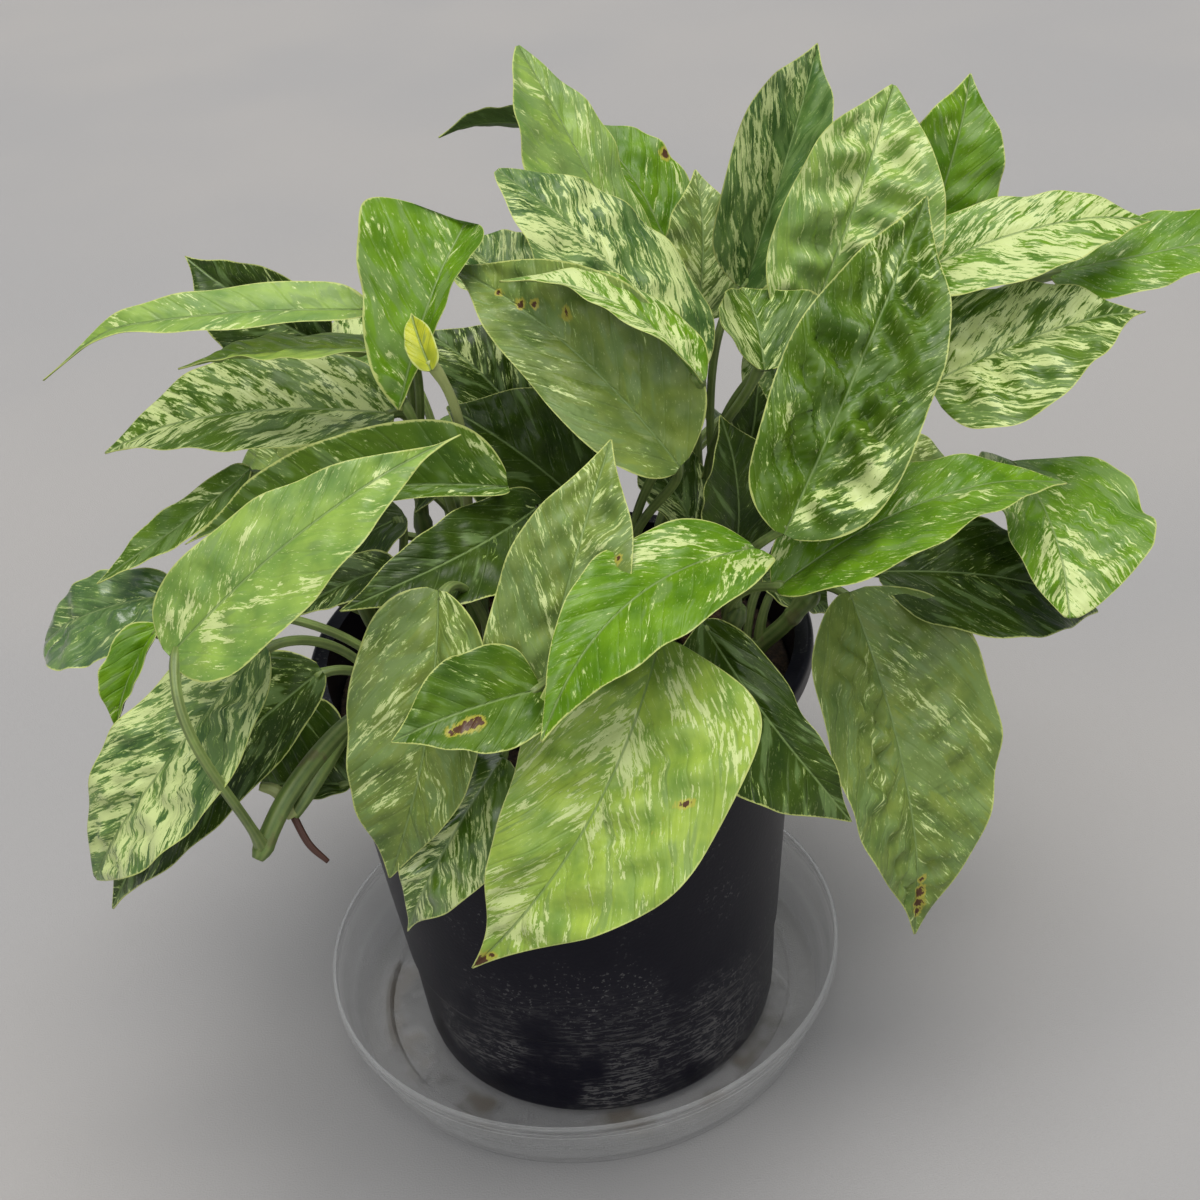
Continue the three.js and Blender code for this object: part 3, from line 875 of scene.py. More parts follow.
@dataclass
class Blade:
    """Surface of one blade, as a function of u from base to tip and v from edge to edge."""

    leaf: Leaf
    seed: int
    thickness: float = 0.62
    rows: int = 64
    columns: int = 27
    row_crowding: float = 0.45
    column_crowding: float = 0.7
    base_power: float = 0.62
    tip_power: float = 0.96
    blunt_power: float = 0.35
    pinch: float = 0.34
    pinched: Span = (0.72, 0.98)
    lean_spread: float = 0.05
    edge_wobble: float = 0.03
    edge_wobbles: float = 2.3
    wobble_lag: float = 0.3
    lobe_length: float = 0.42
    waves: float = 1.6
    wave_lag: float = 0.25
    frill: float = 0.022
    frills: Span = (4.2, 0.7)
    curled: Span = (0.70, 1.15)
    outward_lean: float = 0.4
    light_lean: float = 0.45
    vein_slope: float = 1.15
    vein_curve: float = 0.012
    veins_least: float = 3.0
    vein_gap: float = 15.0
    half_lag: float = 0.35
    swell_off: Span = (0.3, 4.5)
    swell_depth: Span = (0.35, 0.034)
    uneven_mm: float = 34.0
    blister_mm: float = 13.0
    blister: float = 0.9
    groove: float = 0.45
    groove_mm: float = 1.8
    keel: Span = (0.95, 0.65)
    keel_mm: float = 1.0

    def __post_init__(self) -> None:
        """Work out the blade's length and its three axes: along it, out of its face and across it."""
        leaf = self.leaf
        self.at, self.tip = np.array(leaf.at, float), np.array(leaf.tip, float)
        self.length = float(np.linalg.norm(self.tip - self.at))
        self.along = unit(self.tip - self.at)
        outward = unit((self.at + self.tip) * LEVEL)
        face = UP + self.outward_lean * outward + self.light_lean * FRONT
        face = unit(face - self.along * float(face @ self.along))
        self.face = turned_about(face, self.along, leaf.roll)
        self.across = np.cross(self.along, self.face)
        draw = np.random.default_rng(self.seed)
        self.phase, self.uneven = draw.uniform(0, 1), draw.uniform(-1, 1)

    def outline(self, u: np.ndarray) -> np.ndarray:
        """Half-width as a share of the widest: a power of u from the base times a power of 1 - u to
        the tip, 1 where they meet, and pinched a little before the tip.

        Args:
            u: Shares of the way from base to tip.

        Returns:
            The share at each u.
        """
        tip_power = self.tip_power * (1.0 - self.blunt_power * self.leaf.blunt)
        base_power = self.base_power * self.leaf.taper
        widest = base_power / (base_power + tip_power)
        body = (u / widest) ** base_power * ((1.0 - u) / (1.0 - widest)) ** tip_power
        return body * (1.0 - self.pinch * (1.0 - self.leaf.blunt) * smooth(u, *self.pinched))

    def point(self, u: np.ndarray, v: np.ndarray) -> np.ndarray:
        """Middle surface. The midrib bows out of the face and across it, each half rises by the fold,
        the edge waves, frills and cups, the lobes reach back and the tip curls down.

        Args:
            u: Shares of the way from base to tip.
            v: Shares from one edge, -1, to the other, 1.

        Returns:
            Points in millimetres.
        """
        leaf, hand = self.leaf, np.sign(v)
        bow, swing = 4.0 * u * (1.0 - u), np.sin(math.pi * u)
        shape = self.outline(u)
        wobble = self.edge_wobble * turn_sine(self.edge_wobbles * u + self.phase + self.wobble_lag * hand)
        wobble = (leaf.lean + self.lean_spread * self.uneven) * hand + wobble
        half = leaf.width / 2.0 * shape * (1.0 + wobble)
        lag = np.where(v > 0, self.wave_lag, 0.0)
        wave = leaf.wave * leaf.width * swing * turn_sine(self.waves * u + lag)
        frill = self.frill * leaf.width * swing * np.abs(v) ** 4
        first, more = self.frills
        frill = frill * turn_sine(first * u + more * u * u + self.phase + self.half_lag * hand)
        edge = (wave + leaf.cup * leaf.width * shape) * v * v + frill
        lobe = leaf.lobe * self.length * np.sin(math.pi * np.minimum(u / self.lobe_length, 1.0)) * v * v
        fold = math.radians(leaf.fold)
        rise = leaf.arch * self.length * bow + half * np.abs(v) * math.sin(fold) + edge
        rise = rise - leaf.curl * self.length * smooth(u, *self.curled)
        wide = leaf.sway * self.length * bow + half * v * math.cos(fold)
        reach = self.length * u - lobe
        return self.at + sum(
            amount[..., None] * axis
            for amount, axis in ((reach, self.along), (rise, self.face), (wide, self.across))
        )

    def vein_count(self, u: np.ndarray, away: np.ndarray) -> np.ndarray:
        """How many side veins lie below a point. They leave the midrib at a slope and bend forward.

        Args:
            u: Shares of the way from base to tip.
            away: Distances from the midrib, in millimetres.

        Returns:
            The count at each point.
        """
        count = u * self.length - self.vein_slope * away - self.vein_curve * away**2
        return count * (self.veins_least + self.length / self.vein_gap) / self.length + self.phase

    def rings(self) -> tuple[np.ndarray, dict[str, np.ndarray]]:
        """Rings round the blade, over its face and back under it, with the values that it is painted by.

        Between side veins the face swells by the square of the sine of the vein count, more in some
        places than in others, and smaller ripples lie over that. It sinks along the midrib, and the
        underside carries the midrib as a keel. Thickness falls to nothing at the edge.

        Returns:
            Rings in metres, and the values at their points.
        """
        leaf, look = self.leaf, self.leaf.look
        u = packed(np.linspace(0.0, 1.0, self.rows + 2)[1:-1], self.row_crowding)[:, None]
        s = np.linspace(-1.0, 1.0, self.columns)
        v = np.sign(s) * packed(np.abs(s), self.column_crowding)
        u, v = np.broadcast_arrays(u, v[None, :])
        middle = self.point(u, v)
        normal = unit(np.cross(np.gradient(middle, axis=0), np.gradient(middle, axis=1)))
        normal = normal * np.sign((normal * self.face).sum())

        half = leaf.width / 2.0 * self.outline(u)
        away = np.abs(v) * half
        count = self.vein_count(u, away) + self.half_lag * (v > 0)
        ends = smooth(u, 0.0, 0.14) * smooth(1.0 - u, 0.0, 0.12)
        room = smooth(away, *self.swell_off) * smooth(1.0 - np.abs(v), 0.0, 0.55) * ends
        uneven = 1.0 + ripples(middle, self.uneven_mm, self.seed)
        swell = (np.sin(math.pi * count) ** 2 - 0.5) * 0.75 * uneven
        swell = swell + self.blister * ripples(middle, self.blister_mm, self.seed + 500)
        least, share = self.swell_depth
        relief = look.quilt * (least + share * leaf.width) * room * swell
        groove = self.groove * bump(away, 0.0, self.groove_mm) * ends
        high, loss = self.keel
        keel = (high - loss * u) * bump(away, 0.0, self.keel_mm) * smooth(1.0 - u, 0.0, 0.15)
        body = self.thickness / 2.0 * np.sqrt(np.clip(1.0 - np.abs(v) ** 8, 0.0, 1.0))
        over = middle + normal * (body + relief - groove)[..., None]
        under = middle + normal * (relief - body - keel)[..., None]

        def both(value: np.ndarray, below: np.ndarray | None = None) -> np.ndarray:
            """Values of the face, and of the underside, where they are the same unless given."""
            return np.concatenate([value, (value if below is None else below)[:, -2:0:-1]], axis=1)

        rings = both(over, under) * MM
        whole = np.ones_like(rings[..., 0])
        side = both(np.zeros_like(v), np.ones_like(v))
        side[:, [0, self.columns - 1]] = 0.3
        cover = look.cream * np.where(v < 0, look.left, look.right)
        for pu, pv, radius, amount in look.patches:
            cover = cover + amount * self.spot(u, v, pu, pv, radius)
        dry = np.zeros_like(u)
        for pu, pv, radius in look.spots:
            dry = np.maximum(dry, 1.1 * self.spot(u, v, pu, pv, radius))
        return rings, {
            "veins": both(np.stack([count, np.sign(v) * away / MM_PER_CM], axis=-1)),
            "edge": both((1.0 - np.abs(v)) * half),
            "cover": both(cover),
            "dry": both(dry),
            "side": side,
            "seed": whole * self.seed * 1.37,
            "tone": whole[..., None] * np.array(look.tone.value),
            "marks": whole[..., None] * np.array([look.veil, look.flecks, look.gloss]),
        }

    def spot(self, u: np.ndarray, v: np.ndarray, at_u: float, at_v: float, radius: float) -> np.ndarray:
        """A round mark: the bell of the distance on the blade to (at_u, at_v), over the radius.

        Args:
            u: Shares of the way from base to tip.
            v: Shares from edge to edge.
            at_u: The mark's u.
            at_v: The mark's v.
            radius: Its radius, in millimetres.

        Returns:
            Its strength at each point.
        """
        aside = (v * self.outline(u) - self.outline(np.array(at_u)) * at_v) * self.leaf.width / 2.0
        return bump(np.hypot((u - at_u) * self.length, aside), 0.0, radius)


@dataclass
class Shoot:
    """A cut end or aerial root: its points, its radius in millimetres, and its colour's two values."""

    points: tuple[Place, ...]
    radius: float
    root: float = 0.0
    pale: float = 0.0
    narrowing: float = 0.35
    steps: int = 18

    def path(self) -> tuple[np.ndarray, np.ndarray]:
        """Its points, and its radius at each, which shrinks with the cube of the way.

        Returns:
            Points and radii, in millimetres.
        """
        s = np.linspace(0.0, 1.0, self.steps)
        return spline(np.array(self.points, float), s), self.radius * (1.0 - self.narrowing * s**3)


@dataclass
class LeafyStem:
    """One stem that climbs out of the potting mix, with its leaves and shoots."""

    node: str
    path: tuple[tuple[float, ...], ...]
    leaves: dict[str, Leaf]
    shoots: tuple[Shoot, ...] = ()
    root_z: float = 132.3
    soil_z: float = 158.0
    collar: float = 9.0
    stem_radius: float = 3.0
    stem_end: Place = (0.96, 0.85, 0.6)
    knot: float = 0.16
    knot_length: float = 0.018
    petiole_radius: float = 1.5
    petiole_root: float = 4.0
    petiole_sink: float = 0.9
    petiole_rise: float = 0.45
    petiole_reach: float = 0.25
    channel: float = 0.24
    arrival_along: float = 1.2
    stem_steps: int = 60
    petiole_steps: int = 30
    sides: int = 14
    ridges: int = 7
    ridge_depth: float = 0.10

    def stem_points(self, t: np.ndarray) -> np.ndarray:
        """Points of the stem: straight up out of its hole, then through its path.

        Args:
            t: Shares of the way along it.

        Returns:
            Points in millimetres.
        """
        (x, y), *rest = self.path
        heights = (self.root_z, self.soil_z, self.soil_z + self.collar)
        return spline(np.array([(x, y, z) for z in heights] + list(rest), float), t)

    def stalk(
        self, surface: Surface, path: np.ndarray, radius: np.ndarray, channel: float = 0.0, **look: object
    ) -> None:
        """Add one stalk: a circle with ridges by a cosine and a channel on its upper side, carried
        along a path.

        Args:
            surface: What it is added to.
            path: Its points, in millimetres.
            radius: Its radius at each of them.
            channel: The channel's depth, as a share of the radius.
            **look: age, root and pale, as numbers or one for each point.
        """
        angle = around(self.sides)
        crest = 0.5 + 0.5 * np.cos(self.ridges * angle)
        size = 1.0 + self.ridge_depth * (crest - 0.5) - channel * bump(angle, math.pi / 2.0, 0.5)
        section = np.stack([np.cos(angle) * size, np.sin(angle) * size], axis=-1)
        rings = tube(path, radius, section) * MM
        whole = np.ones(rings.shape[:2])
        values = {"ridge": whole * crest}
        for key in ("age", "root", "pale"):
            values[key] = whole * np.broadcast_to(look.get(key, 0.0), len(path))[:, None]
        surface.loft(rings, values)

    def petiole_path(self, blade: Blade, t: np.ndarray) -> np.ndarray:
        """Petiole: it rises from the stem, bends outwards and ends under the blade's base.

        Args:
            blade: The blade that it carries.
            t: Shares of the way along it.

        Returns:
            Points in millimetres.
        """
        start = self.stem_points(np.array([blade.leaf.start]))[0]
        share = np.array([self.petiole_root / blade.length])
        end = blade.point(share, np.array([0.0]))[0] - blade.face * self.petiole_sink
        reach = float(np.linalg.norm(end - start))
        arrival = unit(unit((end - start) * LEVEL) + self.arrival_along * blade.along)
        bend = np.array(blade.leaf.bend)
        first = start + UP * reach * self.petiole_rise + bend
        second = end - arrival * reach * self.petiole_reach + bend
        return bezier(np.array([start, first, second, end]), t)

    def build(
        self, first_seed: int, blade_finish: bpy.types.Material, stalk_finish: bpy.types.Material
    ) -> None:
        """Build the blades and the stalks, each as one piece, in place of the stem's node.

        Args:
            first_seed: Seed of the first blade. Each further blade has the next one.
            blade_finish: Material of the blades.
            stalk_finish: Material of the stalks.
        """
        blades, stalks = Surface(), Surface()
        t = np.linspace(0.0, 1.0, self.stem_steps)
        knots = sum(bump(t, leaf.start, self.knot_length) for leaf in self.leaves.values())
        radius = self.stem_radius * (1.0 + self.knot * np.minimum(knots, 1.0))
        radius[-len(self.stem_end) :] *= np.array(self.stem_end)
        self.stalk(stalks, self.stem_points(t), radius, age=0.45 + 0.5 * (1.0 - t))
        for shoot in self.shoots:
            self.stalk(stalks, *shoot.path(), root=shoot.root, pale=shoot.pale, age=0.3)
        s = np.linspace(0.0, 1.0, self.petiole_steps)
        swollen = self.petiole_radius * (1.04 + 0.30 * bump(s, 0.95, 0.05) + 0.55 * bump(s, 0.0, 0.07))
        for seed, leaf in enumerate(self.leaves.values(), first_seed):
            blade = Blade(leaf, seed)
            blades.loft(*blade.rings())
            pale = 1.0 if leaf.look.tone is Tone.YOUNG else 0.12
            path = self.petiole_path(blade, s)
            self.stalk(stalks, path, swollen, self.channel, age=0.35 * (1.0 - s), pale=pale)
        settle(blades.build(f"{self.node}_blades", "veins", "edge"), blade_finish, self.node)
        settle(stalks.build(f"{self.node}_stalks"), stalk_finish, self.node)


def settle(piece: bpy.types.Object, material: bpy.types.Material, node: str) -> None:
    """Dress a piece, let it ride on the plant's body and stand for its node, and report it.

    Args:
        piece: The finished piece.
        material: Its material.
        node: The node that it stands for.
    """
    piece.data.materials.append(material)
    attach(piece, "root")
    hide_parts(node)
    LOG.info("%s: %d faces", piece.name, len(piece.data.polygons))


# Pot, saucer and potting mix


@dataclass
class Pot:
    """Nursery pot: rounded foot, tapered wall with a faint ledge, rolled rim, drain holes."""

    x: float = 4.5
    y: float = -4.5
    foot_z: float = 3.8
    height: float = 171.5
    foot_r: float = 69.0
    top_r: float = 85.5
    wall: float = 1.6
    rim_r: float = 90.5
    rim_h: float = 8.0
    rim_round: float = 2.2
    foot_round: float = 5.0
    ledge_z: float = 42.0
    ledge_h: float = 2.0
    ledge_in: float = 0.7
    dent_from: float = 10.0
    middle_r: float = 0.01
    drain_r: float = 5.0
    drain_ring: float = 50.0
    drains: int = 6
    sides: int = 160

    def radius(self, z: np.ndarray | float) -> np.ndarray | float:
        """Outer radius of the wall at height z above the foot."""
        return self.foot_r + (self.top_r - self.foot_r) * z / self.height

    def profile(self) -> np.ndarray:
        """Outline from the middle of the underside, up the outside, over the rim and down inside.

        The foot and the rim's corners are quarter circles, and the ledge is a smooth step inwards.

        Returns:
            Radii and heights above the foot.
        """
        turn = np.linspace(0.0, math.pi / 2.0, 9)
        sine, cosine = np.sin(turn), np.cos(turn)
        foot_r, foot_z = self.foot_r - self.foot_round * (1 - sine), self.foot_round * (1 - cosine)
        foot = np.stack([foot_r, foot_z], axis=-1)
        rim_z = self.height - self.rim_h
        below = np.linspace(8.0, self.ledge_z - 2, 6)
        ledge = np.linspace(self.ledge_z - 1, self.ledge_z + 4, 9)
        z = np.concatenate([below, ledge, np.linspace(self.ledge_z + 8, rim_z - 0.4, 14)])
        dent = self.ledge_in * smooth(z, self.dent_from, self.ledge_z)
        dent = dent * (1.0 - smooth(z, self.ledge_z, self.ledge_z + self.ledge_h))
        r = self.rim_round
        centre = self.rim_r - r
        depth = np.linspace(self.height - 1.0, self.wall + 1.0, 12)
        return np.concatenate(
            [
                [[self.middle_r, 0.0], [self.drain_ring, 0.0]],
                foot,
                np.stack([self.radius(z) - dent, z], axis=-1),
                [[self.radius(rim_z) + 0.3, rim_z]],
                np.stack([centre + r * sine, rim_z + r * (1 - cosine)], axis=-1),
                np.stack([centre + r * cosine, self.height - r * (1 - sine)], axis=-1),
                [[self.radius(self.height) - self.wall, self.height - 0.4]],
                np.stack([self.radius(depth) - self.wall, depth], axis=-1),
                [[self.radius(self.wall) - self.wall, self.wall]],
                [[self.drain_ring, self.wall], [self.middle_r, self.wall]],
            ]
        )

    def build(self, material: bpy.types.Material) -> None:
        """Turn the profile, cut the drain holes with a Boolean, and put the pot in its node's place.

        Args:
            material: The pot's material.
        """
        body, pins = Surface(), Surface()
        place = np.array([self.x, self.y, self.foot_z])
        body.loft((turned(self.profile(), self.sides) + place) * MM)
        ends = np.array([[self.drain_r, -2.0], [self.drain_r, 2.0 * self.wall]])
        for angle in around(self.drains):
            spot = np.array([self.drain_ring * math.cos(angle), self.drain_ring * math.sin(angle), 0.0])
            pins.loft((turned(ends, 32) + spot + place) * MM)
        pot, cutter = body.build("pot_shell"), pins.build("drain_pins")
        cut = pot.modifiers.new("drains", "BOOLEAN")
        cut.object, cut.operation, cut.solver = cutter, "DIFFERENCE", "EXACT"
        graph = bpy.context.evaluated_depsgraph_get()
        mesh = bpy.data.meshes.new_from_object(pot.evaluated_get(graph))
        pot.modifiers.clear()
        pot.data = mesh
        bpy.data.objects.remove(cutter)
        mesh.set_sharp_from_angle(angle=math.radians(40.0))
        mesh.materials.clear()
        settle(pot, material, "pot")


@dataclass
class Saucer:
    """Clear saucer: floor with ring ridges, flaring wall with one step, upright lip band."""

    rim_r: float = 101.5
    foot_r: float = 93.0
    height: float = 28.6
    wall: float = 1.4
    flare: float = 1.0
    step_z: float = 12.0
    step_out: float = 1.4
    lip_h: float = 5.0
    lip_out: float = 1.6
    bend_h: float = 1.0
    ridge_h: float = 2.1
    ridge_w: float = 3.0
    ridges: tuple[float, ...] = (34.0, 58.0, 82.0)
    middle_r: float = 0.01
    sides: int = 192

    def profile(self) -> np.ndarray:
        """Outline from the middle of the floor, up the inside, over the rim and back underneath.

        Each ridge is one wave of a cosine, and the wall's bends are eased by a short smooth step.

        Returns:
            Radii and heights.
        """
        r = np.concatenate([[self.middle_r], np.linspace(6.0, self.foot_r - 4.0, 170)])
        off = [np.abs(r - ridge) / self.ridge_w for ridge in self.ridges]
        rise = sum(np.where(x < 0.5, 0.5 + 0.5 * np.cos(2 * math.pi * x), 0.0) for x in off)
        floor = np.stack([r, self.wall + self.ridge_h * rise], axis=-1)

        z = np.linspace(0.0, self.height, 44)
        lip_z = self.height - self.lip_h
        step_r = self.foot_r + self.flare + self.step_out
        slope = (self.rim_r - self.lip_out - self.wall - step_r) / (lip_z - self.step_z)
        out = self.foot_r + self.flare * np.minimum(z / self.step_z, 1.0)
        out = out + self.step_out * smooth(z, self.step_z - self.bend_h, self.step_z + self.bend_h)
        out = out + slope * np.maximum(z - self.step_z, 0.0)
        lip = smooth(z, lip_z - self.bend_h, lip_z + 0.2)
        inside = out * (1 - lip) + (self.rim_r - self.wall) * lip
        inside = inside - self.wall * (1.0 - smooth(z, 0.0, self.step_z))
        inside = np.stack([inside, z], axis=-1)[z > self.wall + 1.0]
        outside = inside + np.array([self.wall, 0.0])

        corner = np.linspace(0.0, math.pi, 7)[1:-1]
        radius = self.wall / 2.0
        rim_z = self.height - 0.3 + radius * 0.4 * np.sin(corner)
        rim = np.stack([self.rim_r - radius - radius * np.cos(corner), rim_z], axis=-1)
        foot = [[self.foot_r - 0.4, 0.5], [self.foot_r - 1.2, 0.0], [self.foot_r - 12.0, 0.0]]
        return np.concatenate([floor, inside, rim, outside[::-1], foot, [[self.middle_r, 0.0]]])

    def build(self, material: bpy.types.Material) -> None:
        """Turn the profile and put the saucer in its node's place.

        Args:
            material: The saucer's material.
        """
        surface = Surface()
        surface.loft(turned(self.profile(), self.sides) * MM)
        piece = surface.build("saucer_dish")
        piece.data.set_sharp_from_angle(angle=math.radians(50.0))
        settle(piece, material, "saucer")


@dataclass
class PottingMix:
    """Potting mix: a body with a crumbly top that fills the pot, and loose bark and perlite on it."""

    pot: Pot
    top_z: float = 158.0
    crown: float = 3.0
    gap: float = 0.3
    middle_r: float = 0.01
    middle_share: float = 0.004
    crumb: float = 1.3
    crumb_mm: Span = (17.0, 7.0)
    fine_crumb: float = 0.7
    margin: float = 5.0
    perlite_from: float = 0.94
    perlite: Colour = (9.0, 11.0, 15.0)
    bark: Colour = (2.2, 1.7, 1.0)
    bits: int = 620
    seed: int = 71
    sides: int = 180
    rings: int = 60

    def body(self) -> Surface:
        """Body from its underside, up the wall and over the top to its middle. The top is a low dome
        with two sizes of ripples for crumbs.

        Returns:
            The surface.
        """
        low = self.pot.wall + self.gap
        top = self.top_z - self.pot.foot_z
        wall = np.linspace(low, top - 1.0, 8)
        edge = self.pot.radius(top) - low
        share = np.linspace(1.0, self.middle_share, self.rings)
        dome = np.stack([edge * share, top - 1.0 + (self.crown + 1.0) * (1.0 - share**2)], axis=-1)
        below = np.stack([self.pot.radius(wall) - low, wall], axis=-1)
        rings = turned(np.concatenate([[[self.middle_r, low]], below, dome]), self.sides)
        crumbs = rings[-self.rings :]
        large, small = self.crumb_mm
        relief = ripples(crumbs, large, self.seed) + self.fine_crumb * ripples(crumbs, small, self.seed + 1)
        fade = smooth(np.linspace(0.0, 1.0, self.rings), 0.0, 0.08)[:, None]
        crumbs[..., 2] += self.crumb * (relief - 0.6) * fade
        surface = Surface()
        place = np.array([self.pot.x, self.pot.y, self.pot.foot_z])
        surface.loft((rings + place) * MM, {"tint": np.ones(rings.shape)})
        return surface

    def loose(self) -> Surface:
        """Loose bits: five-sided double cones, stretched and turned at random, half sunk in the top.

        Returns:
            The surface.
        """
        draw = np.random.default_rng(self.seed)
        edge = self.pot.radius(self.top_z) - self.pot.wall - self.margin
        far = edge * np.sqrt(draw.uniform(0.0, 1.0, self.bits))
        angle = draw.uniform(0.0, 2.0 * math.pi, self.bits)
        size = draw.gamma(3.0, 0.55, self.bits) + 0.9
        kind = draw.uniform(0.0, 1.0, self.bits)
        height = self.top_z + self.crown * (1.0 - (far / edge) ** 2) - 0.2 * size
        across, deep = self.pot.x + far * np.cos(angle), self.pot.y + far * np.sin(angle)
        place = np.stack([across, deep, height], axis=-1)
        surface = Surface()
        belt = turned(np.array([[0.35, -0.5], [1.0, -0.1], [0.8, 0.35], [0.2, 0.55]]), 5)
        for i in range(self.bits):
            jitter = draw.uniform(0.7, 1.3, belt.shape)
            stretch = np.array([draw.uniform(0.8, 2.0), 1.0, 0.7]) * size[i]
            basis = np.linalg.qr(draw.normal(size=(3, 3)) + 2.0 * np.eye(3))[0]
            tint = self.perlite if kind[i] > self.perlite_from else 1.0 + np.array(self.bark) * kind[i]
            rings = (belt * jitter * stretch) @ basis.T + place[i]
            surface.loft(rings * MM, {"tint": np.ones(belt.shape) * np.array(tint)})
        return surface

    def build(self, material: bpy.types.Material) -> None:
        """Build the body and the loose bits in the place of the node.

        Args:
            material: The mix's material.
        """
        settle(self.body().build("soil_body"), material, "soil")
        settle(self.loose().build("soil_bits"), material, "soil")


# Looks that several blades share

PLAIN_DARK = Look(Tone.DARK, cream=0.06, veil=0.12, flecks=0.2)
PLAIN_MID = Look(Tone.MID, cream=0.08, veil=0.3, flecks=0.35)
DARK_MARBLED = Look(Tone.DARK, cream=0.32, veil=0.5)
MARBLED = Look(Tone.MID, cream=0.55, veil=0.5, quilt=0.8)
BLUE_MARBLED = Look(Tone.BLUISH, cream=0.50, veil=0.5, quilt=0.7)
BRIGHT_FLECKED = Look(Tone.BRIGHT, cream=0.14, veil=0.2, flecks=0.8)
GREYED_FLECKED = Look(Tone.GREYED, cream=0.30, veil=0.45, flecks=0.6, quilt=0.8)

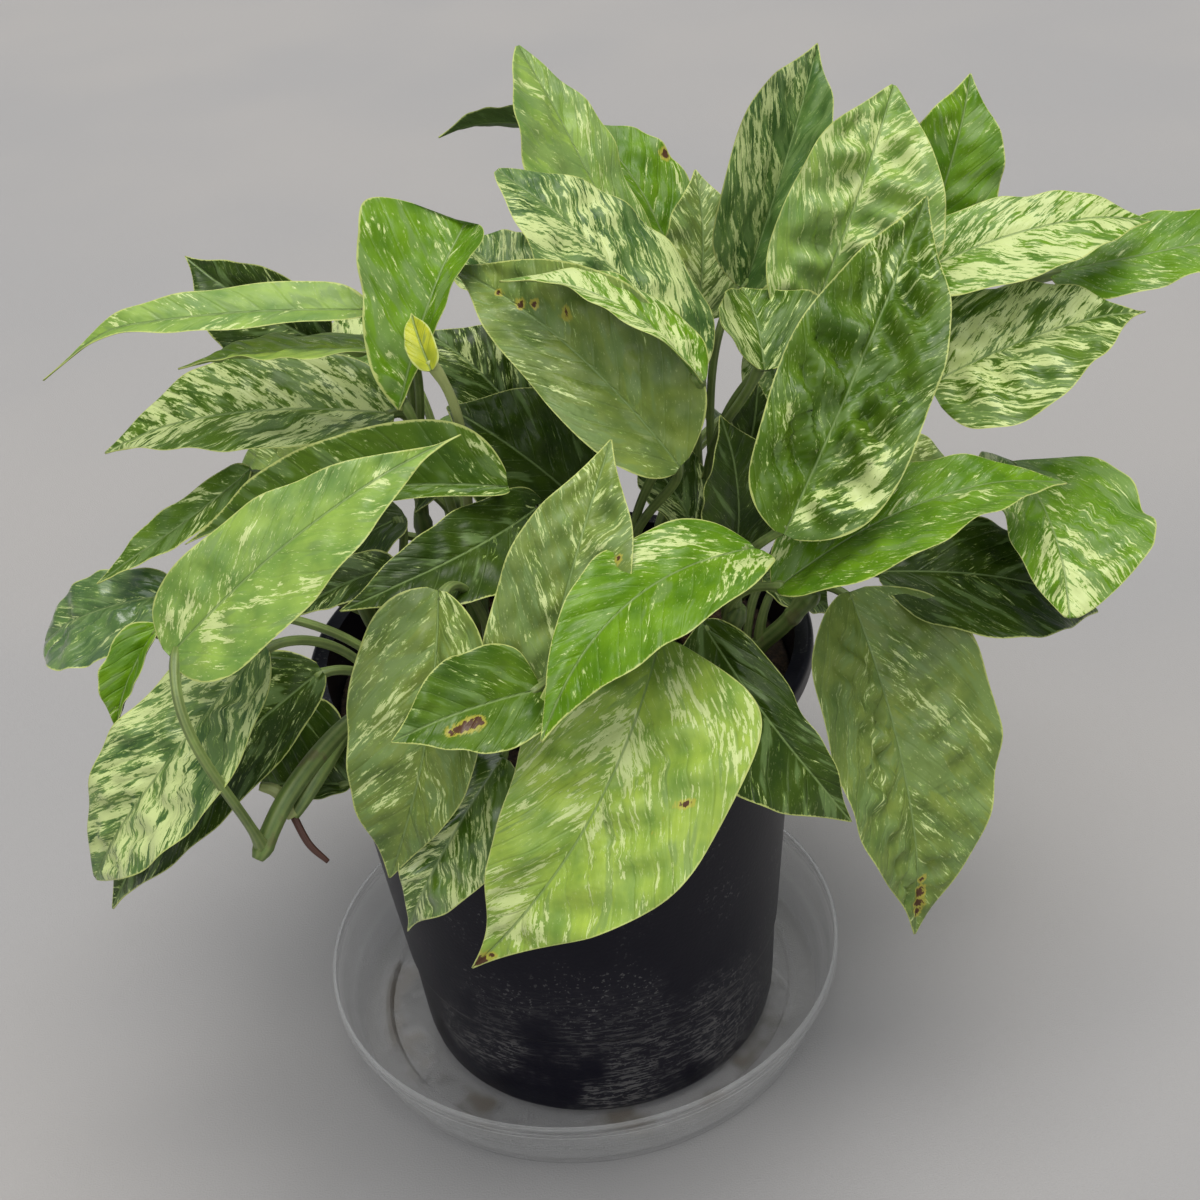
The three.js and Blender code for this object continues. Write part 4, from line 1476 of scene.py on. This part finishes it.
STEMS: tuple[LeafyStem, ...] = (
    LeafyStem("stem_crown_left", ((8, 22), (12, 26, 190), (18, 30, 225)), {
        "top": Leaf((49, 38, 286), (13.5, 84, 364), 46, 0.95, Look(Tone.LIGHT, 0.3, 0.6, 0.6), arch=0.06,
            sway=-0.06, blunt=0.5, lean=-0.45),
        "top_behind": Leaf((58, 75, 286), (30, 108, 327), 40, 0.8,
            Look(Tone.BRIGHT, 0.2, 0.5, spots=((0.5, 0.9, 2.2),))),
        "marbled_top": Leaf((61, -6, 275), (2.5, 25, 343), 56, 0.9, Look(Tone.BLUISH, 0.5, 0.6, 0.5, 0.6),
            fold=6, arch=0.05, wave=0.01, lean=-0.05, blunt=0.6),
        "back_strip": Leaf((22, 100, 326), (-20, 92, 331), 16, 0.85, PLAIN_DARK, roll=50),
        "inner_middle": Leaf((4, 24, 240), (-42, 14, 224), 38, 0.65, PLAIN_DARK),
        "marbled_behind": Leaf((1, 60, 279), (-17, 82, 296), 36, 0.7, BLUE_MARBLED),
        "marbled_inner": Leaf((2, 16, 250), (-31, 38, 282), 37.5, 0.75, DARK_MARBLED),
    }),
    LeafyStem("stem_crown_mid", ((22, -6), (28, -14, 190), (33, -20, 215)), {
        "cream_edge": Leaf((59, -48, 294), (0, -22, 325), 25, 0.95, Look(Tone.BRIGHT, 0.55, 0.5), roll=36,
            fold=8, arch=0.14, wave=0.04, lean=0.2),
        "big_centre": Leaf((50, -50, 266), (-18, 5, 320), 46, 0.9, Look(Tone.GREYED, 0.14, 0.35, 0.5, 0.8,
            spots=((0.78, 0.0, 1.2), (0.7, 0.05, 1.5), (0.66, 0.18, 1.2), (0.56, 0.3, 1.6))), roll=-22,
            sway=0.05, lean=0.2, blunt=-0.2),
        "dark_centre": Leaf((18, -2, 228), (-24, 6, 268), 56, 0.6, PLAIN_DARK, roll=-15),
        "dark_right": Leaf((68, -18, 212), (67, -10, 262), 38, 0.4, PLAIN_DARK),
    }),
    LeafyStem("stem_crown_right", ((48, 22), (58, 20, 190), (66, 18, 222)), {
        "folded_top": Leaf((79, 20, 292), (114, 70, 358), 50, 0.95,
            Look(Tone.BLUISH, 0.45, 0.5, left=1.2, right=0.3), fold=50, lean=-0.3, lobe=0.12),
        "marbled_right": Leaf((95, -5, 284), (134, 38, 352), 54, 0.9,
            Look(Tone.LIGHT, 0.5, 0.6, 0.6, 1.1), arch=0.08, blunt=0.35, lean=0.1),
        "pale_strip": Leaf((64, 38, 274), (69, 60, 321), 36, 0.8, Look(Tone.GREYED, 0.45, 0.6)),
        "curled_small": Leaf((80, -25, 284), (77, 0, 303), 40, 0.85, Look(Tone.MID, 0.45, 0.4), cup=0.2),
        "inner_low": Leaf((52, 34, 214), (38, 30, 262), 34, 0.5, PLAIN_DARK),
        "inner_right": Leaf((70, 24, 204), (84, 30, 252), 34, 0.45, PLAIN_DARK),
        "dark_inner": Leaf((56, 2, 212), (36, 24, 236), 32, 0.6, DARK_MARBLED),
    }),
    LeafyStem("stem_right_front", ((52, -34), (60, -42, 190), (66, -50, 212)), {
        "big_right": Leaf((78, -75, 253), (137, -5, 331), 50, 0.95, Look(Tone.MID, 0.2, 0.3, 0.6, 2.0,
            0.5, patches=((0.22, 0.9, 13.0, 0.42), (0.06, 0.3, 8.0, 0.3))), arch=0.05),
        "bright_right": Leaf((75, -70, 230), (175, -42, 244), 46, 0.8,
            Look(Tone.BRIGHT, 0.2, 0.2, 0.9, 0.5, 0.5), roll=-30, arch=0.12, lean=0.25),
        "dark_hanging": Leaf((52, -66, 219), (95, -100, 158), 42, 0.6,
            Look(Tone.DARK, 0.02, 0.2, 0.3, 0.4, 0.5), lean=0.45, sway=0.07),
    }),
    LeafyStem("stem_right_back", ((68, 18), (84, 14, 186), (98, 10, 214)), {
        "back_top_right": Leaf((147, 60, 282), (169, 82, 337), 40, 0.95,
            Look(Tone.BRIGHT, 0.15, 0.35, 0.5)),
        "striped_right": Leaf((132, 15, 292), (220, 30, 299), 38, 0.9, Look(Tone.BRIGHT, 0.62, 0.4),
            lean=0.25, arch=0.11),
        "far_right": Leaf((185, 30, 282), (262, 20, 295), 36, 0.85, Look(Tone.BRIGHT, 0.2, 0.3, 1.0, 0.3),
            arch=0.0, fold=5),
        "marbled_side": Leaf((136, -5, 262), (214, 10, 275), 56, 0.8, MARBLED, lean=0.2, taper=0.65,
            blunt=-0.6),
    }),
    LeafyStem("stem_right_low", ((70, -18), (84, -24, 186), (94, -28, 200)), {
        "hanging_right": Leaf((103, -40, 208), (118, -90, 94), 66, 0.95, Look(Tone.GREYED, 0.2, 0.45, 0.6,
            0.8, spots=((0.82, -0.1, 1.3), (0.855, -0.06, 1.9), (0.89, -0.03, 1.9), (0.92, 0.0, 1.4))),
            lean=-0.07, blunt=-0.15),
        "dark_side": Leaf((114, -30, 207), (196, -20, 175), 50, 0.8, Look(Tone.DARK, 0.1, 0.3, 0.5),
            lean=0.2),
        "inner_marbled": Leaf((78, -8, 197), (101, -14, 181), 24, 0.5, DARK_MARBLED),
        "turned_side": Leaf((168, 5, 224), (172, -65, 205), 62, 0.6, Look(Tone.BRIGHT, 0.3, 0.4, 0.8, 0.6,
            patches=((0.85, 0.0, 14.0, 0.45), (0.35, 0.8, 12.0, 0.4))), blunt=0.8, lean=-0.15),
    }),
    LeafyStem("stem_front", ((22, -46), (26, -56, 186), (26, -64, 206)), {
        "big_front": Leaf((38, -90, 233), (-32, -140, 149), 68, 0.9, Look(Tone.YELLOW, 0.33, 0.2, 0.6,
            0.8, 0.45, patches=((0.3, 0.1, 8.0, 0.5), (0.5, 0.12, 6.0, 0.5), (0.8, 0.1, 9.0, 0.5),
            (0.2, 0.8, 12.0, 0.5)), spots=((0.97, 0.0, 4.2), (0.4, -0.6, 1.2), (0.43, -0.52, 0.9),
            (0.36, -0.66, 0.9), (0.93, -0.4, 1.1))), sway=-0.09, lean=-0.12, blunt=-0.3, taper=0.85,
            lobe=0.13),
        "bright_front": Leaf((70, -75, 250), (-1, -136, 232), 42, 0.95, Look(Tone.BRIGHT, 0.12, 0.15, 0.5,
            0.5, 0.5, patches=((0.12, 0.3, 10.0, 0.5), (0.3, 0.85, 13.0, 0.6), (0.15, -0.8, 8.0, 0.4))),
            roll=20, sway=0.1, lean=-0.15),
        "upright_front": Leaf((-5, -102, 210), (29, -57, 284), 43, 0.7, Look(Tone.GREYED, 0.34, 0.5, 0.7,
            0.8, spots=((0.62, 0.75, 1.2), (0.2, -0.7, 1.2)))),
        "low_front": Leaf((0, -105, 227), (-44, -128, 231), 34, 0.5, Look(Tone.MID, 0.18, 0.3, 0.3,
            spots=((0.5, -0.3, 1.8), (0.545, -0.33, 2.2), (0.59, -0.35, 2.2), (0.635, -0.37, 2.0),
            (0.68, -0.38, 1.5)))),
    }),
    LeafyStem("stem_front_left", ((-10, -42), (-14, -52, 186), (-16, -58, 206)), {
        "dark_front_left": Leaf((5, -22, 243), (-61, -70, 241), 36, 0.95, PLAIN_DARK, sway=-0.09,
            lean=-0.3),
        "wide_left": Leaf((-4, -38, 259), (-116, -25, 243), 27, 0.97, Look(Tone.MID, 0.06, 0.3, 0.4,
            patches=((0.1, 0.4, 10.0, 0.15),)), roll=-20, sway=0.06, fold=25, blunt=-0.4, arch=0.06,
            taper=0.75, bend=(-8, 26, 0), lean=0.55),
        "hanging_left": Leaf((-28, -80, 251), (-56, -112, 164), 44, 0.8, GREYED_FLECKED, sway=-0.08,
            lean=0.15),
        "shiny_left": Leaf((-14, -100, 200), (-53, -114, 143), 34, 0.4,
            Look(Tone.MID, 0.42, 0.5, 0.5, 0.8, 1.0), blunt=-0.5, lean=-0.15),
    }),
    LeafyStem("vine_left",
        ((-46, -36), (-52, -54, 188), (-64, -76, 200), (-82, -104, 196), (-93, -116, 182)), {
        "big_left": Leaf((-107, -106, 253), (-15, -74, 301), 42, 0.97, Look(Tone.LIGHT, 0.2, 0.2, 0.8,
            0.5, 0.55, patches=((0.12, -0.4, 8.0, 0.5), (0.16, 0.5, 9.0, 0.4), (0.72, 0.0, 8.0, 0.35))),
            bend=(0, -14, 0), blunt=-1.1, lean=0.2),
        "small_folded": Leaf((-122, -50, 229), (-141, -66, 199), 22, 0.4,
            Look(Tone.BRIGHT, 0.05, 0.2, 0.2), fold=40, lean=-0.1),
    }, (
        Shoot(((-64, -76, 200), (-75, -97, 194), (-82, -103, 187)), 2.7),
        Shoot(((-82, -103, 187), (-86, -100, 195), (-91, -99, 197)), 2.1, pale=0.8),
        Shoot(((-82, -103, 187), (-78, -108, 179), (-73, -110, 173)), 1.2, root=1.0),
    )),
    LeafyStem("stem_left_low", ((-38, -56), (-48, -64, 190), (-54, -70, 204)), {
        "marbled_low": Leaf((-81, -90, 244), (-150, -104, 171), 46, 0.95,
            Look(Tone.BLUISH, 0.58, 0.6, 0.5, 1.0, 0.6), sway=-0.04, lean=-0.15, blunt=0.5),
        "low_left": Leaf((-68, -75, 222), (-152, -92, 147), 42, 0.7, Look(Tone.DARK, 0.28, 0.3, 0.6)),
        "dark_low": Leaf((-66, -82, 180), (-98, -72, 176), 34, 0.4, PLAIN_DARK, lean=0.7),
    }),
    LeafyStem("stem_left_mid", ((-50, -4), (-58, -10, 190), (-62, -14, 210)), {
        "inner_left": Leaf((-44, 8, 226), (-84, -4, 206), 34, 0.6, PLAIN_DARK),
        "inner_striped": Leaf((-46, -18, 222), (-86, -26, 210), 18, 0.55, DARK_MARBLED),
        "dark_left": Leaf((-92, 0, 255), (-152, -10, 223), 19, 0.7, Look(Tone.MID, 0.2, 0.3), lean=-0.1,
            arch=-0.03),
        "shiny_far_left": Leaf((-123, -12, 216), (-178, 0, 195), 40, 0.5,
            Look(Tone.BLUISH, 0.14, 0.5, 0.5, 0.9, 1.0), blunt=0.8, lean=-0.3),
    }),
    LeafyStem("stem_left_top", ((-32, 20), (-38, 20, 192), (-40, 18, 222)), {
        "marbled_left": Leaf((-41, 5, 267), (-146, 20, 258), 42, 0.85, Look(Tone.MID, 0.5, 0.4, 0.5)),
        "long_left": Leaf((-43, 2, 307), (-155, 0, 308), 21, 0.95, Look(Tone.LIGHT, 0.2, 0.3, 0.3, 0.3),
            roll=5, blunt=-1.0, curl=0.2, arch=0.05),
        # thin_left takes the brighter YELLOW tone instead of LIGHT. This is partly its own yellowish green
        # and partly painted light that lifts the shadow long_left casts on it.
        "thin_left": Leaf((-36, -2, 294), (-108, -5, 299), 30, 0.9, Look(Tone.YELLOW, 0.2, 0.3), roll=30,
            lean=-0.4, arch=0.03),
        "dark_top_left": Leaf((-64, 35, 280), (-110, 52, 312), 36, 0.8, Look(Tone.DARK, 0.1, 0.35),
            roll=-40, blunt=-0.3, lean=-0.15),
    }),
    LeafyStem("stem_curled", ((-18, -10), (-22, -14, 190), (-24, -16, 214)), {
        "curled_left": Leaf((-37, -26, 284), (-10, 10, 331), 36, 0.95, Look(Tone.BRIGHT, 0.22, 0.35, 0.6),
            fold=20, cup=0.1, taper=1.6, lean=-0.45, blunt=2.0, roll=15),
        "yellow_young": Leaf((-24, -36, 302), (-29, -20, 315), 10, 0.8,
            Look(Tone.YOUNG, 0.0, 0.0, 0.0, 0.1)),
    }),
    LeafyStem("stem_back_left", ((-25, 46), (-30, 52, 186), (-32, 56, 206)), {
        "back_left_upper": Leaf((-42, 75, 250), (-88, 135, 232), 50, 0.95, MARBLED),
        "back_left_side": Leaf((-60, 60, 216), (-128, 95, 190), 50, 0.8, GREYED_FLECKED),
        "back_left_low": Leaf((-32, 88, 214), (-50, 148, 160), 52, 0.6, BRIGHT_FLECKED),
        "back_left_wide": Leaf((-76, 38, 202), (-146, 50, 160), 46, 0.5, DARK_MARBLED),
    }),
    LeafyStem("stem_back", ((12, 56), (12, 64, 186), (12, 68, 208)), {
        "back_upper": Leaf((10, 92, 258), (4, 156, 252), 52, 0.95, BLUE_MARBLED),
        "back_low": Leaf((-6, 98, 222), (-12, 164, 186), 54, 0.7, PLAIN_MID),
        "back_low_right": Leaf((26, 98, 214), (28, 160, 158), 50, 0.5, MARBLED),
    }),
    LeafyStem("stem_back_right", ((42, 46), (50, 54, 186), (56, 58, 208)), {
        "back_right_upper": Leaf((70, 82, 258), (108, 138, 254), 52, 0.95, BRIGHT_FLECKED),
        "back_right_side": Leaf((84, 76, 220), (140, 116, 184), 54, 0.8, MARBLED),
        "back_right_wide": Leaf((100, 52, 206), (172, 66, 166), 50, 0.65, GREYED_FLECKED),
        "back_right_low": Leaf((72, 92, 200), (96, 140, 142), 46, 0.5, PLAIN_MID),
    }),
)


# Stage


def frame_at(x: np.ndarray, y: np.ndarray, z: np.ndarray, place: tuple[float, ...] | np.ndarray) -> Matrix:
    """Placement whose axes are x, y and z, at a place.

    Args:
        x: First axis.
        y: Second axis.
        z: Third axis.
        place: Its origin, in metres.

    Returns:
        The matrix.
    """
    rows = np.eye(4)
    rows[:3, 0], rows[:3, 1], rows[:3, 2], rows[:3, 3] = x, y, z, place
    return Matrix(rows.tolist())


@dataclass(frozen=True)
class Sun:
    """A distant soft lamp: where its light comes from, its strength, and its spread in degrees."""

    name: str
    comes_from: Place
    strength: float
    spread: float
    colour: Colour

    def hang(self) -> None:
        """Make the lamp and turn it."""
        light = bpy.data.lights.new(self.name, "SUN")
        light.energy, light.angle, light.color = self.strength, math.radians(self.spread), self.colour
        lamp = bpy.data.objects.new(self.name, light)
        bpy.context.scene.collection.objects.link(lamp)
        back = unit(np.array(self.comes_from))
        side = unit(np.cross(FRONT, back))
        lamp.matrix_world = frame_at(side, np.cross(back, side), back, back * 2.0)


@dataclass
class Stage:
    """Pale floor, plain but for low clouds of painted soft shade, soft light from above and the camera at
    the photograph's angle.
    """

    camera_at: Place = (20.4, -576.065, 568.834)
    elevation: float = 33.51
    bank: float = -5.97
    lens: float = 58.07
    sensor: float = 36.0
    floor_half: float = 4.0
    floor_colour: Colour = (0.372, 0.357, 0.345)
    # The second floor colour is painted soft shade, laid over the floor in low clouds.
    floor_painted_shade: Colour = (0.350, 0.340, 0.335)
    world_colour: Colour = (0.86, 0.92, 1.0)
    world_strength: float = 0.26
    suns: tuple[Sun, ...] = (
        Sun("overhead", (0.12, -0.06, 1.0), 2.35, 40.0, (1.0, 0.98, 0.95)),
        Sun("behind", (0.05, 1.0, 0.95), 0.25, 30.0, (0.94, 0.97, 1.0)),
        Sun("front", (-0.10, -1.0, 0.9), 1.05, 60.0, (0.97, 0.98, 1.0)),
    )

    def camera(self) -> None:
        """Place the camera: it looks along +Y, down by the elevation, and is banked about its view."""
        data = bpy.data.cameras.new("camera")
        data.lens, data.sensor_width = self.lens, self.sensor
        lower, bank = math.radians(self.elevation), math.radians(self.bank)
        back = np.array([0.0, -math.cos(lower), math.sin(lower)])
        right = np.array([1.0, 0.0, 0.0])
        top = np.cross(right, -back)
        x = right * math.cos(bank) + top * math.sin(bank)
        y = top * math.cos(bank) - right * math.sin(bank)
        camera = bpy.data.objects.new("camera", data)
        bpy.context.scene.collection.objects.link(camera)
        camera.matrix_world = frame_at(x, y, back, np.array(self.camera_at) * MM)
        bpy.context.scene.camera = camera

    def floor(self) -> None:
        """Lay the floor: a wide square just under the saucer, with low clouds of painted soft shade."""
        h = self.floor_half
        mesh = bpy.data.meshes.new("floor")
        mesh.from_pydata([(-h, -h, 0), (h, -h, 0), (h, h, 0), (-h, h, 0)], [], [(0, 1, 2, 3)])
        floor = bpy.data.objects.new("floor", mesh)
        bpy.context.scene.collection.objects.link(floor)
        g = Graph("floor_cloth")
        weave = g.noise(g.place(), 1400.0, 2.0, 0.5)
        # Low clouds of painted soft shade darken the floor here and there.
        cloud = g.rise(g.noise(g.place(), 3.2, 2.0, 0.5), 0.35, 0.65)
        colour = g.mix(cloud, self.floor_colour, self.floor_painted_shade)
        mesh.materials.append(g.finish(weave, 0.0002, Base_Color=colour, Roughness=0.9))

    def build(self) -> None:
        """Set the camera, the floor, the lamp, the light all round and plain colours."""
        self.camera()
        self.floor()
        for sun in self.suns:
            sun.hang()
        bpy.context.scene.view_settings.view_transform = "Standard"
        world = bpy.data.worlds.new("world")
        world.use_nodes = True
        sky = world.node_tree.nodes["Background"]
        sky.inputs["Color"].default_value = (*self.world_colour, 1.0)
        sky.inputs["Strength"].default_value = self.world_strength
        bpy.context.scene.world = world
        LOG.info("stage set")


def main() -> None:
    """Load the frame and build the plant around it."""
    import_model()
    Stage().build()
    pot = Pot()
    Saucer().build(ClearFinish().material())
    pot.build(PotFinish().material())
    PottingMix(pot).build(MixFinish().material())
    blade_finish, stalk_finish = BladeFinish().material(), StalkFinish().material()
    seed = 1
    for stem in STEMS:
        stem.build(seed, blade_finish, stalk_finish)
        seed += len(stem.leaves)


if __name__ == "__main__":
    main()
